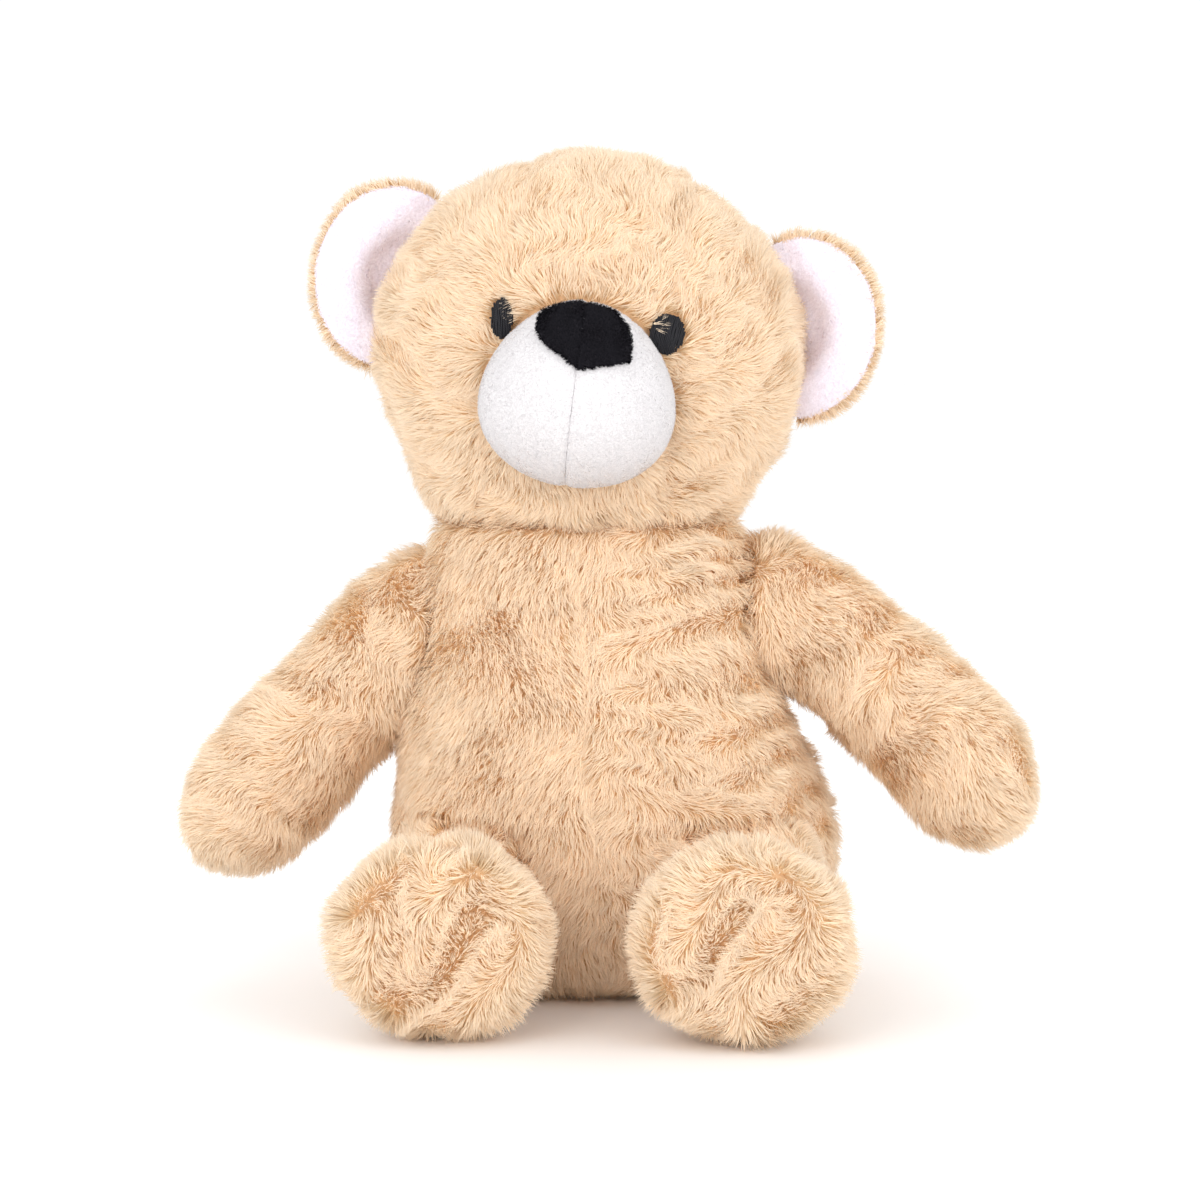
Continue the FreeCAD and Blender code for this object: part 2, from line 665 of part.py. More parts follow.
def leg_bag(side, grow):
    """A round thigh about the hip axis, fused to a tube that widens to the foot."""
    inset = -grown(grow)
    turn = OUTWARD_LEFT if side > 0 else OUTWARD_RIGHT
    start = dim("hip_plane") + dim("joint_gap") + inset
    thigh = doc.addObject("Part::Cylinder", "Thigh")
    bind(thigh, "Radius", "thigh_radius " + grow)
    bind(thigh, "Height", "thigh_width " + grow + " " + grow)
    thigh.Placement = place_at(side * start, -dim("hip_forward"), dim("hip_height"), turn)
    doc.recompute()
    rounded = doc.addObject("Part::Fillet", "RoundedThigh")
    rounded.Base = thigh
    rounded_edges = []
    middle = side * (dim("hip_plane") + dim("joint_gap") + dim("thigh_width") / 2)
    for number, edge in enumerate(thigh.Shape.Edges, start=1):
        if isinstance(edge.Curve, Part.Circle):
            outer = abs(edge.CenterOfMass.x) > abs(middle)
            radius = dim("thigh_round") - inset if outer else dim("thigh_inner_round")
            rounded_edges.append((number, radius, radius))
    rounded.Edges = rounded_edges
    sections = []
    for name, _, _, _ in LEG:
        if inset > 0 and name == "pad":
            continue
        distance = dim("leg_%s_place" % name)
        distance = min(distance, dim("leg_pad_place") - inset) if name == "sole" else distance
        rise = dim("foot_rise") * max(0.0, distance) / dim("leg_pad_place")
        place = place_at(middle, -dim("hip_forward") - distance, dim("hip_height") + rise, FORWARD)
        sections.append(ellipse("leg", name, grow, place))
    return fuse([rounded, loft(sections, "LegTube")])


def make_leg(name):
    side = 1 if name == "left" else -1
    joint = "hip_" + name
    skin = cut(cut(leg_bag(side, ""), leg_bag(side, "- skin")), stem_hole(joint))
    middle = side * (dim("hip_plane") + dim("joint_gap") + dim("thigh_width") / 2)
    sole = -dim("hip_forward") - dim("leg_ball_place") - dim("sole_seam")
    inner, outer = ((-BIG, middle), (middle, BIG)) if side > 0 else ((middle, BIG), (-BIG, middle))
    return {
        "leg_%s_inner_panel" % name: common(skin, box((inner[0], sole, -BIG), (inner[1], BIG, BIG))),
        "leg_%s_outer_panel" % name: common(skin, box((outer[0], sole, -BIG), (outer[1], BIG, BIG))),
        "sole_%s" % name: common(skin, box((-BIG, -BIG, -BIG), (BIG, sole, BIG))),
        "leg_%s_stuffing" % name: cut(leg_bag(side, "- skin - ease"), limb_room(joint)),
        joint + "_stem_disc": stem_disc(joint, joint + "_stem_disc"),
        joint + "_lock_washer": lock_washer(joint, joint + "_lock_washer"),
    }


# ---------------------------------------------------------------- the whole bear
pieces = {}
pieces.update(make_torso())
pieces.update(make_head())
for limb_side in ("left", "right"):
    pieces.update(make_arm(limb_side))
    pieces.update(make_leg(limb_side))
for node, piece in pieces.items():
    piece.Label = node
doc.recompute()

faults = [thing.Label for thing in doc.Objects if "Invalid" in thing.State or "Error" in thing.State]
if faults:
    raise RuntimeError("failed features: %s" % faults)
for node, piece in pieces.items():
    shape = piece.Shape
    if shape.isNull() or not shape.isValid() or shape.Volume < 1:
        raise RuntimeError("bad shape: %s" % node)
    shape.exportStep("parts/%s.step" % node)
    print("%-28s %9.0f mm3 in %d solid(s)" % (node, shape.Volume, len(shape.Solids)))
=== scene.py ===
# %% [markdown]
# # A jointed teddy bear in combed plush
#
# The bear is six stuffed bags that turn on plastic doll joints. This notebook dresses the fixed frame
# of the bear: it keeps the plastic joints, and builds over everything that is cloth. Each bag becomes a
# knitted backing, stuffed with a small cloth simulation, and thousands of pile fibres are planted on it.

# %% Load the frame
import math

import bmesh
import bpy
import numpy as np
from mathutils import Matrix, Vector
from mathutils.bvhtree import BVHTree
from mathutils.kdtree import KDTree


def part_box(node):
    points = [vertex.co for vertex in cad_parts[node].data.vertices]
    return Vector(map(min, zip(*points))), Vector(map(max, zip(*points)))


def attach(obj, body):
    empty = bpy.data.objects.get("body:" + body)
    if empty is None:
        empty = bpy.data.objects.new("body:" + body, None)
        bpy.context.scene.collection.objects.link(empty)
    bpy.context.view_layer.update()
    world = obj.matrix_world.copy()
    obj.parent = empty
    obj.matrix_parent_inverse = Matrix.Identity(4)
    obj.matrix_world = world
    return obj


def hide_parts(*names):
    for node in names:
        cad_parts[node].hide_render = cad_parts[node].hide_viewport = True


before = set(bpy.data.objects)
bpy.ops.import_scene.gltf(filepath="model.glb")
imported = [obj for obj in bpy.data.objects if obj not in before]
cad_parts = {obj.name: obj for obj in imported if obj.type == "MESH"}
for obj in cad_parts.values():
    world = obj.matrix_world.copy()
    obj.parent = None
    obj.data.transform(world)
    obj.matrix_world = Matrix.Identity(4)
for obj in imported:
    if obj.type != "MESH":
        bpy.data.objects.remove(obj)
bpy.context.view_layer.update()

MM = 0.001

# %% [markdown]
# ## Camera, light and floor
#
# A toy is usually shown on a white table under two large soft lamps and a bright white room. The camera
# stands a little to the bear's left and slightly above it. A long lens from over a metre away keeps the
# feet from looking too big.

# %% Place the camera
CAMERA_PLACE = Vector((0.0816, -1.2276, 0.2527))
CAMERA_TARGET = Vector((-0.0051, 0.0125, 0.1221))
LENS = 115.2
SENSOR = 36.0

camera = bpy.data.objects.new("camera", bpy.data.cameras.new("camera"))
bpy.context.scene.collection.objects.link(camera)
camera.location = CAMERA_PLACE
camera.rotation_euler = (CAMERA_TARGET - CAMERA_PLACE).to_track_quat("-Z", "Y").to_euler()
camera.data.lens = LENS
camera.data.sensor_width = SENSOR
bpy.context.scene.camera = camera
print("camera distance", round((CAMERA_TARGET - CAMERA_PLACE).length, 3), "m")


# %% Hang the lamps and light the room
def lamp(name, place, size, power):
    """A square soft lamp that faces the middle of the bear."""
    data = bpy.data.lights.new(name, "AREA")
    data.size = size
    data.energy = power
    thing = bpy.data.objects.new(name, data)
    bpy.context.scene.collection.objects.link(thing)
    thing.location = place
    thing.rotation_euler = (CAMERA_TARGET - Vector(place)).to_track_quat("-Z", "Y").to_euler()
    return thing


lamp("lamp_front", (-0.6, -1.3, 0.70), 0.9, 8.0)
lamp("lamp_side", (0.9, -0.95, 0.60), 0.9, 5.0)
lamp("lamp_back", (0.1, 0.9, 1.2), 0.9, 2.0)

room = bpy.data.worlds.new("white_room")
room.use_nodes = True
room.node_tree.nodes["Background"].inputs["Color"].default_value = (1.0, 1.0, 1.0, 1.0)
direction = room.node_tree.nodes.new("ShaderNodeTexCoord")
backness = room.node_tree.nodes.new("ShaderNodeVectorMath")
backness.operation = "DOT_PRODUCT"
backness.inputs[1].default_value = (0.0, 0.5, 1.0)
strength = room.node_tree.nodes.new("ShaderNodeMapRange")
strength.inputs["From Min"].default_value = -0.5
strength.inputs["From Max"].default_value = 0.5
strength.inputs["To Min"].default_value = 0.80
strength.inputs["To Max"].default_value = 1.06
room.node_tree.links.new(direction.outputs["Generated"], backness.inputs[0])
room.node_tree.links.new(backness.outputs["Value"], strength.inputs["Value"])
room.node_tree.links.new(strength.outputs["Result"], room.node_tree.nodes["Background"].inputs["Strength"])
bpy.context.scene.world = room
bpy.context.scene.view_settings.view_transform = "Standard"
print("three lamps and a white room")


# %% Lay the floor
def plain_material(name, colour, roughness):
    material = bpy.data.materials.new(name)
    material.use_nodes = True
    shader = material.node_tree.nodes["Principled BSDF"]
    shader.inputs["Base Color"].default_value = (*colour, 1.0)
    shader.inputs["Roughness"].default_value = roughness
    return material


bpy.ops.object.select_all(action="DESELECT")
bpy.ops.mesh.primitive_plane_add(size=8.0, location=(0.0, 0.0, 0.0))
floor = bpy.context.object
floor.name = "floor"
floor.data.materials.append(plain_material("white_table", (0.97, 0.97, 0.97), 0.6))
print("floor laid at height 0")


# %% [markdown]
# ## Small tools
#
# A few helpers are shared by all the cloth: copying parts of the frame into a new mesh, applying
# modifiers, and reading or writing all the vertices of a mesh at once.

# %% Tools for meshes
def only(thing):
    """Select one object and make it the active one."""
    bpy.ops.object.select_all(action="DESELECT")
    thing.select_set(True)
    bpy.context.view_layer.objects.active = thing


def apply_all(thing):
    only(thing)
    for modifier in list(thing.modifiers):
        bpy.ops.object.modifier_apply(modifier=modifier.name)


def vertices_of(mesh):
    places = np.empty(len(mesh.vertices) * 3)
    mesh.vertices.foreach_get("co", places)
    return places.reshape(-1, 3)


def normals_of(mesh):
    normals = np.empty(len(mesh.vertices) * 3)
    mesh.vertices.foreach_get("normal", normals)
    return normals.reshape(-1, 3)


def move_vertices(mesh, places):
    mesh.vertices.foreach_set("co", places.ravel())
    mesh.update()


def unit(vectors):
    return vectors / np.maximum(np.linalg.norm(vectors, axis=-1, keepdims=True), 1e-12)


def copy_of_nodes(name, nodes):
    """A new object with copies of these parts of the frame, their doubles merged."""
    work = bmesh.new()
    for node in nodes:
        work.from_mesh(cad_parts[node].data)
    bmesh.ops.remove_doubles(work, verts=work.verts, dist=0.00001)
    mesh = bpy.data.meshes.new(name)
    work.to_mesh(mesh)
    work.free()
    thing = bpy.data.objects.new(name, mesh)
    bpy.context.scene.collection.objects.link(thing)
    return thing


def keep_largest(thing):
    """Throw away loose bits and closed bubbles inside, and keep the outer bag."""
    work = bmesh.new()
    work.from_mesh(thing.data)
    work.verts.ensure_lookup_table()
    seen = set()
    groups = []
    for start in work.verts:
        if start.index in seen:
            continue
        group = [start]
        seen.add(start.index)
        for vert in group:
            for edge in vert.link_edges:
                other = edge.other_vert(vert)
                if other.index not in seen:
                    seen.add(other.index)
                    group.append(other)
        groups.append(group)
    groups.sort(key=len)
    for group in groups[:-1]:
        bmesh.ops.delete(work, geom=group, context="VERTS")
    work.to_mesh(thing.data)
    work.free()


def middle_of(*nodes):
    """The middle of the box round these parts of the frame."""
    boxes = [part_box(node) for node in nodes]
    low = np.min([np.array(low) for low, _ in boxes], axis=0)
    high = np.max([np.array(high) for _, high in boxes], axis=0)
    return (low + high) / 2


print("tools ready")

# %% [markdown]
# ## The six stuffed bags
#
# Under the pile of a real bear is a knitted backing, pulled tight by the stuffing. The parts of one bag
# are copied and fused by a voxel remesh, which also closes the hollow for the joint. The bag is taken in
# by the height of the pile, blown up with a little air pressure as cloth, and only then do the seams get
# their dip, because the remesh would have erased them.

# %% The bags and their panels
PANELS = {
    "torso": ["torso_front_left", "torso_front_right", "torso_back_left", "torso_back_right", "seat_panel"],
    "head": ["head_gusset", "head_side_left", "head_side_right"],
    "arm_left": ["arm_left_front_panel", "arm_left_back_panel"],
    "arm_right": ["arm_right_front_panel", "arm_right_back_panel"],
    "leg_left": ["leg_left_inner_panel", "leg_left_outer_panel", "sole_left"],
    "leg_right": ["leg_right_inner_panel", "leg_right_outer_panel", "sole_right"],
}
LIMBS = ["head", "arm_left", "arm_right", "leg_left", "leg_right"]
NEIGHBOURS = {"torso": LIMBS, **{limb: ["torso"] for limb in LIMBS}}
PILE_HEIGHT = 4.0 * MM
JOINT_INSET = 0.0 * MM
JOINT_ROOM = 9.0 * MM
VOXEL = 4.5 * MM
STUFF_REACH = 2.0 * MM
STUFF_PRESSURE = 4.0
STUFF_FRAMES = 20
SEAM_DIP = 2.0 * MM
SEAM_WIDTH = 2.4 * MM


# %% Stuff a bag
def stuff(bag, reach):
    """Blow the bag up as cloth; no point may travel further than reach."""
    before = vertices_of(bag.data)
    cloth = bag.modifiers.new("stuffing", "CLOTH")
    cloth.settings.use_pressure = True
    cloth.settings.uniform_pressure_force = STUFF_PRESSURE
    cloth.settings.effector_weights.gravity = 0.0
    cloth.point_cache.frame_end = STUFF_FRAMES
    for step in range(1, STUFF_FRAMES + 1):
        bpy.context.scene.frame_set(step)
    apply_all(bag)
    bpy.context.scene.frame_set(1)
    travel = vertices_of(bag.data) - before
    far = np.linalg.norm(travel, axis=1, keepdims=True)
    move_vertices(bag.data, before + travel * np.minimum(1.0, reach / np.maximum(far, 1e-9)))


def panel_tree(nodes):
    """A search tree over the faces of some panels, and the panel that each face belongs to."""
    places, faces, owners = [], [], []
    start = 0
    for index, node in enumerate(nodes):
        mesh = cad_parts[node].data
        mesh.calc_loop_triangles()
        corners = np.empty(len(mesh.loop_triangles) * 3, np.int32)
        mesh.loop_triangles.foreach_get("vertices", corners)
        places.append(vertices_of(mesh))
        faces.append(corners.reshape(-1, 3) + start)
        owners += [index] * len(mesh.loop_triangles)
        start += len(mesh.vertices)
    tree = BVHTree.FromPolygons(np.concatenate(places).tolist(), np.concatenate(faces).tolist())
    return tree, owners


def owner_of(tree, owners, points):
    return np.array([owners[tree.find_nearest(point)[2]] for point in points.tolist()])


def dip_seams(bag, tree, owners):
    """Press the bag in along the lines where two panels are sewn together."""
    mesh = bag.data
    places = vertices_of(mesh)
    owner = owner_of(tree, owners, places)
    edges = np.empty(len(mesh.edges) * 2, np.int32)
    mesh.edges.foreach_get("vertices", edges)
    edges = edges.reshape(-1, 2)
    crossing = edges[owner[edges[:, 0]] != owner[edges[:, 1]]]
    middles = places[crossing].mean(axis=1)
    near = KDTree(len(middles))
    for index, point in enumerate(middles.tolist()):
        near.insert(point, index)
    near.balance()
    away = np.array([near.find(point)[2] for point in places.tolist()])
    depth = SEAM_DIP * np.exp(-(away / SEAM_WIDTH) ** 2)
    move_vertices(mesh, places - normals_of(mesh) * depth[:, None])


def room_beyond(points, normals, tree, start, limit):
    """How far each point could move out along its normal before it meets the tree's faces."""
    room = np.full(len(points), limit)
    begin = points - normals * start
    for index, (point, normal) in enumerate(zip(begin.tolist(), normals.tolist())):
        far = tree.ray_cast(point, normal, limit + start)[3]
        if far is not None:
            room[index] = max(0.0, far - start)
    return room


def evened(mesh, values, rounds):
    """Each vertex takes the mean of its own value and its neighbours', a few times over."""
    edges = np.empty(len(mesh.edges) * 2, np.int32)
    mesh.edges.foreach_get("vertices", edges)
    one, two = edges.reshape(-1, 2).T
    share = 1.0 + np.bincount(one, minlength=len(values)) + np.bincount(two, minlength=len(values))
    for _ in range(rounds):
        from_two = np.bincount(one, values[two], len(values))
        from_one = np.bincount(two, values[one], len(values))
        total = values + from_two + from_one
        values = total / share
    return values


def make_bag(body):
    nodes = PANELS[body] + [body + "_stuffing"]
    bag = copy_of_nodes(body + "_backing", nodes)
    remesh = bag.modifiers.new("weld", "REMESH")
    remesh.mode = "VOXEL"
    remesh.voxel_size = VOXEL
    apply_all(bag)
    keep_largest(bag)
    others, _ = panel_tree([node for other in NEIGHBOURS[body] for node in PANELS[other]])
    room = room_beyond(vertices_of(bag.data), normals_of(bag.data), others, 2 * MM, JOINT_ROOM)
    open_share = evened(bag.data, np.clip((room - 2 * MM) / (JOINT_ROOM - 2 * MM), 0, 1), 1)
    inset = JOINT_INSET + (PILE_HEIGHT - JOINT_INSET) * open_share
    move_vertices(bag.data, vertices_of(bag.data) - normals_of(bag.data) * inset[:, None])
    smooth = bag.modifiers.new("ease", "SMOOTH")
    smooth.factor = 0.5
    smooth.iterations = 3
    apply_all(bag)
    stuff(bag, STUFF_REACH)
    finer = bag.modifiers.new("finer", "SUBSURF")
    finer.levels = 1
    finer.render_levels = 1
    apply_all(bag)
    tree, owners = panel_tree(PANELS[body])
    dip_seams(bag, tree, owners)
    bag.data.shade_smooth()
    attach(bag, body)
    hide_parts(body + "_stuffing")
    return bag, tree, owners, others


bags = {body: make_bag(body) for body in PANELS}
for body, (bag, _, _, _) in bags.items():
    print(body, "backing has", len(bag.data.polygons), "faces")

# %% [markdown]
# ## How the pile lies
#
# Plush is not the same all over. On the body it is brushed down, on the face it runs away from the
# muzzle, and on the soles it stands out in tufts. Each bag gets a small function that says, for every
# fibre, which way it is combed and how steeply it stands. Smooth random waves turn the comb here and
# there, so that the pile swirls and parts as it does when it has been stroked.

# %% Waves that turn the comb
def waves(points, size, seed):
    """A smooth random value, about -1 to 1, that changes over this many metres."""
    draw = np.random.default_rng(seed)
    total = np.zeros(len(points))
    for _ in range(8):
        way = unit(draw.normal(size=3))
        pitch = 2 * math.pi / (size * draw.uniform(1.2, 3.0))
        total += np.sin(points @ way * pitch + draw.uniform(0, 2 * math.pi))
    return total / 2.2


def turned(directions, normals, angles):
    """Directions along the surface, turned about its normals."""
    side = np.cross(normals, directions)
    return directions * np.cos(angles)[:, None] + side * np.sin(angles)[:, None]


def along_surface(vectors, normals):
    flat = vectors - normals * np.sum(vectors * normals, axis=1, keepdims=True)
    return unit(flat)


# %% Comb the torso
TORSO_MIDDLE = middle_of("torso_front_left", "torso_front_right")


def comb_torso(points, normals):
    down = along_surface(np.tile([0.0, 0.0, -1.0], (len(points), 1)), normals)
    wavy_side = 1 / (1 + np.exp(-(points[:, 0] - TORSO_MIDDLE[0]) / (3 * MM)))
    small = waves(points, 11 * MM, 11)
    broad = waves(points, 30 * MM, 12)
    swell = np.sin(2 * math.pi * points[:, 2] / (13 * MM) + 2.4 * broad)
    calm = 0.22 * small + 0.28 * broad
    rough = 0.55 * small + 0.95 * swell + 0.35 * broad
    angles = calm * (1 - wavy_side) + rough * wavy_side
    lift = 0.62 + 0.10 * small
    return turned(down, normals, angles), lift


# %% Comb the head
MUZZLE = middle_of("muzzle_left", "muzzle_right")
ACROSS = unit(middle_of("eye_left") - middle_of("eye_right"))
FACE_OUT = unit(np.cross(ACROSS, [0.0, 0.0, 1.0]))
HEAD_UP = unit(np.cross(FACE_OUT, ACROSS))
HEAD_UP = HEAD_UP * np.sign(HEAD_UP[2])
FACE_OUT = FACE_OUT * -np.sign(FACE_OUT[1])


def comb_head(points, normals):
    from_muzzle = points - (MUZZLE - FACE_OUT * 10 * MM)
    outward = along_surface(from_muzzle, normals)
    small = waves(points, 11 * MM, 21)
    broad = waves(points, 26 * MM, 22)
    height = (points - MUZZLE) @ HEAD_UP
    rings = np.sin(2 * math.pi * np.linalg.norm(from_muzzle, axis=1) / (15 * MM) + 2.0 * broad)
    brow = np.clip(height / (40 * MM), 0.0, 1.0)
    angles = 0.55 * small + 0.35 * broad + 0.60 * rings * brow
    lift = 0.64 + 0.10 * small
    return turned(outward, normals, angles), lift


# %% Comb an arm
def comb_arm(side):
    """The pile runs from the shoulder towards the paw."""
    low, high = (np.array(corner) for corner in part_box("arm_%s_front_panel" % side))
    turn = 1 if side == "left" else -1
    shoulder = np.array([low[0] if turn > 0 else high[0], (low[1] + high[1]) / 2, high[2]])
    paw = np.array([high[0] if turn > 0 else low[0], (low[1] + high[1]) / 2, low[2]])
    length = np.linalg.norm(paw - shoulder)
    sleeve = unit(paw - shoulder)

    def comb(points, normals):
        reach = (points - shoulder) @ sleeve / length
        drop = np.clip(1.2 - 2.0 * reach, 0, 1)[:, None]
        way = along_surface(sleeve * (1 - drop) + np.array([0.0, 0.0, -1.0]) * drop, normals)
        small = waves(points, 12 * MM, 31 + turn)
        broad = waves(points, 28 * MM, 33 + turn)
        steps = np.sin(2 * math.pi * reach * length / (16 * MM) + 2.2 * broad)
        angles = 0.60 * small + 0.35 * broad + 0.45 * steps
        return turned(way, normals, angles), 0.68 + 0.10 * small

    return comb


# %% Comb a leg
def comb_leg(side):
    """Tufts on the sole, a crown of pile round its edge, and smooth pile on the shank."""
    low, high = (np.array(corner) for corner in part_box("sole_" + side))
    middle = (low + high) / 2
    radius = (high[0] - low[0]) / 2

    def comb(points, normals):
        from_middle = points - middle
        from_middle[:, 1] = 0.0
        out = along_surface(from_middle, normals)
        front = np.clip(-normals[:, 1] * 1.6, 0, 1)
        ring = np.linalg.norm(from_middle, axis=1) / radius
        back = along_surface(np.tile([0.0, 1.0, -0.3], (len(points), 1)), normals)
        small = waves(points, 9 * MM, 41)
        broad = waves(points, 20 * MM, 42)
        rim = np.clip((ring - 0.55) / 0.4, 0, 1)[:, None]
        down = turned(along_surface(np.tile([0.0, 0.0, -1.0], (len(points), 1)), normals), normals,
                      0.9 * small + 1.3 * broad)
        face = unit(down * (1 - rim) + out * rim)
        way = unit(face * front[:, None] + back * (1 - front[:, None]) + 1e-6)
        lift = 0.66 + 0.10 * small + 0.1 * front
        return turned(along_surface(way, normals), normals, 0.35 * small), lift

    return comb


COMBS = {"torso": comb_torso, "head": comb_head, "arm_left": comb_arm("left"), "arm_right": comb_arm("right"),
         "leg_left": comb_leg("left"), "leg_right": comb_leg("right")}
print("combs for", ", ".join(COMBS))

# %% [markdown]
# ## Planting the pile
#
# A fibre is a thin tapered blade with one bend: two faces and a point. Hair curves would be lighter
# to make, but a mesh can be exported as it is. Fibres lean on their neighbours, so each one is drawn
# towards the tip of the tuft it grows in. The colour runs from a deep caramel at the root to a pale
# peach at the tip. This is partly the fibre's own colour and partly painted shade deep in the pile.
# Every tuft and every fibre is a little lighter or darker than the next. A blade is lit on both sides,
# because the back of it passes the light on, as real thin fibres do.

# %% Plant, bend and colour the fibres
# Each pair gives the colour at the root, then at the tip. The darker root is partly the fibre's own colour
# and partly painted shade deep in the pile.
PLUSH_TINTS = (np.array([0.78, 0.53, 0.29]), np.array([0.85, 0.705, 0.55]))
NOSE_TINTS = (np.array([0.004, 0.004, 0.006]), np.array([0.017, 0.016, 0.020]))
VELOUR_TINTS = (np.array([0.64, 0.62, 0.63]), np.array([0.74, 0.72, 0.73]))
LINING_TINTS = (np.array([0.80, 0.75, 0.83]), np.array([0.90, 0.86, 0.94]))


def plant(bag, per_mm2, draw):
    """Random places on the bag, spread evenly by area, with the smooth normal at each."""
    mesh = bag.data
    mesh.calc_loop_triangles()
    corners = np.empty(len(mesh.loop_triangles) * 3, np.int32)
    mesh.loop_triangles.foreach_get("vertices", corners)
    corners = corners.reshape(-1, 3)
    places = vertices_of(mesh)[corners]
    normals = normals_of(mesh)[corners]
    areas = np.linalg.norm(np.cross(places[:, 1] - places[:, 0], places[:, 2] - places[:, 0]), axis=1) / 2
    count = int(areas.sum() / MM ** 2 * per_mm2)
    chosen = draw.choice(len(areas), count, p=areas / areas.sum())
    first = draw.random((count, 1))
    second = draw.random((count, 1))
    over = first + second > 1
    first = np.where(over, 1 - first, first)
    second = np.where(over, 1 - second, second)
    weights = np.stack([1 - first - second, first, second], axis=1)
    return (places[chosen] * weights).sum(axis=1), unit((normals[chosen] * weights).sum(axis=1))


def nearest(centres, points):
    tree = KDTree(len(centres))
    for index, point in enumerate(centres.tolist()):
        tree.insert(point, index)
    tree.balance()
    return np.array([tree.find(point)[1] for point in points.tolist()])


BEND_RISE = 0.66
BEND_RUN = 0.36
LEAST_RUN = 0.05


def blade_lines(roots, normals, ways, lift, length):
    """The bend and the tip of each fibre: it rises steeply first and then leans over."""
    run = np.sqrt(np.maximum(LEAST_RUN, 1 - lift ** 2))
    bend = roots + normals * (BEND_RISE * lift * length)[:, None] + ways * (BEND_RUN * run * length)[:, None]
    tip = roots + normals * (lift * length)[:, None] + ways * (run * length)[:, None]
    return bend, tip


FIBRE_SCATTER = 0.38
TUFT_SCATTER = 0.30
LIFT_SCATTER = 0.08


def make_fibres(roots, normals, comb, length, tuft_size, pull, draw, raised=0.0):
    """Comb the fibres and gather them into tufts. Gives the bend, the tip and a shade for each."""
    count = len(roots)
    tufts = max(1, int(count / (tuft_size ** 2)))
    leaders = draw.choice(count, tufts, replace=False)
    member = nearest(roots[leaders], roots)
    ways, lift = comb(roots, normals)
    lift = lift + raised
    scatter = draw.normal(0, FIBRE_SCATTER, count)
    tuft_turn = draw.normal(0, TUFT_SCATTER, tufts)
    ways = turned(ways, normals, scatter)
    lift = np.clip(lift + draw.normal(0, LIFT_SCATTER, count), 0.12, 0.95)
    own = length * draw.uniform(0.72, 1.08, count)
    bend, tip = blade_lines(roots, normals, ways, lift, own)
    lead_ways, lead_lift = comb(roots[leaders], normals[leaders])
    lead_ways = turned(lead_ways, normals[leaders], tuft_turn)
    lead_lift = np.clip(lead_lift + draw.normal(0, LIFT_SCATTER, tufts), 0.15, 0.95)
    lead_bend, lead_tip = blade_lines(roots[leaders], normals[leaders], lead_ways, lead_lift, length[leaders])
    hold = (pull * draw.uniform(0.4, 1.0, count))[:, None]
    tip = tip + (lead_tip[member] - tip) * hold
    bend = bend + (lead_bend[member] - bend) * hold * 0.35
    shade = draw.normal(0, 0.045, tufts)[member] + draw.normal(0, 0.05, count)
    return bend, tip, shade


def blades(name, roots, normals, bend, tip, shade, width, tints, draw):
    """One mesh of tapered blades, with its colours, its normals and one small map cell per fibre."""
    count = len(roots)
    along = unit(tip - roots)
    across = unit(np.cross(along, normals))
    above = np.cross(across, along)
    roll = draw.normal(0, 0.5, count)[:, None]
    wide = across * np.cos(roll) + above * np.sin(roll)
    half = (width / 2 * draw.uniform(0.75, 1.2, count))[:, None] * wide
    rows = np.stack([roots - half, roots + half, bend - half * 0.85, bend + half * 0.85, tip], axis=1)
    pattern = np.array([[0, 1, 3], [0, 3, 2], [2, 3, 4]])
    faces = (pattern[None] + np.arange(count)[:, None, None] * 5).reshape(-1)
    mesh = bpy.data.meshes.new(name)
    mesh.vertices.add(count * 5)
    mesh.loops.add(count * 9)
    mesh.polygons.add(count * 3)
    mesh.vertices.foreach_set("co", rows.ravel())
    mesh.loops.foreach_set("vertex_index", faces.astype(np.int32))
    mesh.polygons.foreach_set("loop_start", np.arange(0, count * 9, 3, dtype=np.int32))
    mesh.polygons.foreach_set("use_smooth", np.ones(count * 3, bool))
    cells = math.ceil(math.sqrt(count))
    column = np.arange(count) % cells
    line = np.arange(count) // cells
    spread = np.array([[0.2, 0.1], [0.8, 0.1], [0.25, 0.5], [0.75, 0.5], [0.5, 0.9]])
    corners = (np.stack([column, line], axis=1)[:, None] + spread[None]) / cells
    layer = mesh.uv_layers.new(name="OFBake")
    layer.data.foreach_set("uv", corners.reshape(-1, 2)[faces].ravel())
    # The colour darkens from the tip down to the root. This is partly the fibre's own colour and partly
    # painted shade where the pile shades itself.
    height = np.array([0.0, 0.0, 0.62, 0.62, 1.0])
    mix = height[None, :, None]
    colour = tints[0] * (1 - mix) + tints[1] * mix
    colour = np.clip(colour * (1 + shade[:, None, None]), 0, 1)
    rgba = np.concatenate([colour, np.ones((count, 5, 1))], axis=2)
    tint = mesh.color_attributes.new("pile_tint", "FLOAT_COLOR", "POINT")
    tint.data.foreach_set("color", rgba.ravel())
    mesh.update(calc_edges=True)
    facing = np.cross(wide, along)
    facing *= np.sign(np.sum(facing * normals, axis=1, keepdims=True))
    soft = unit(facing * 0.3 + normals * 0.9)
    mesh.normals_split_custom_set_from_vertices(np.repeat(soft, 5, axis=0))
    thing = bpy.data.objects.new(name, mesh)
    bpy.context.scene.collection.objects.link(thing)
    return thing


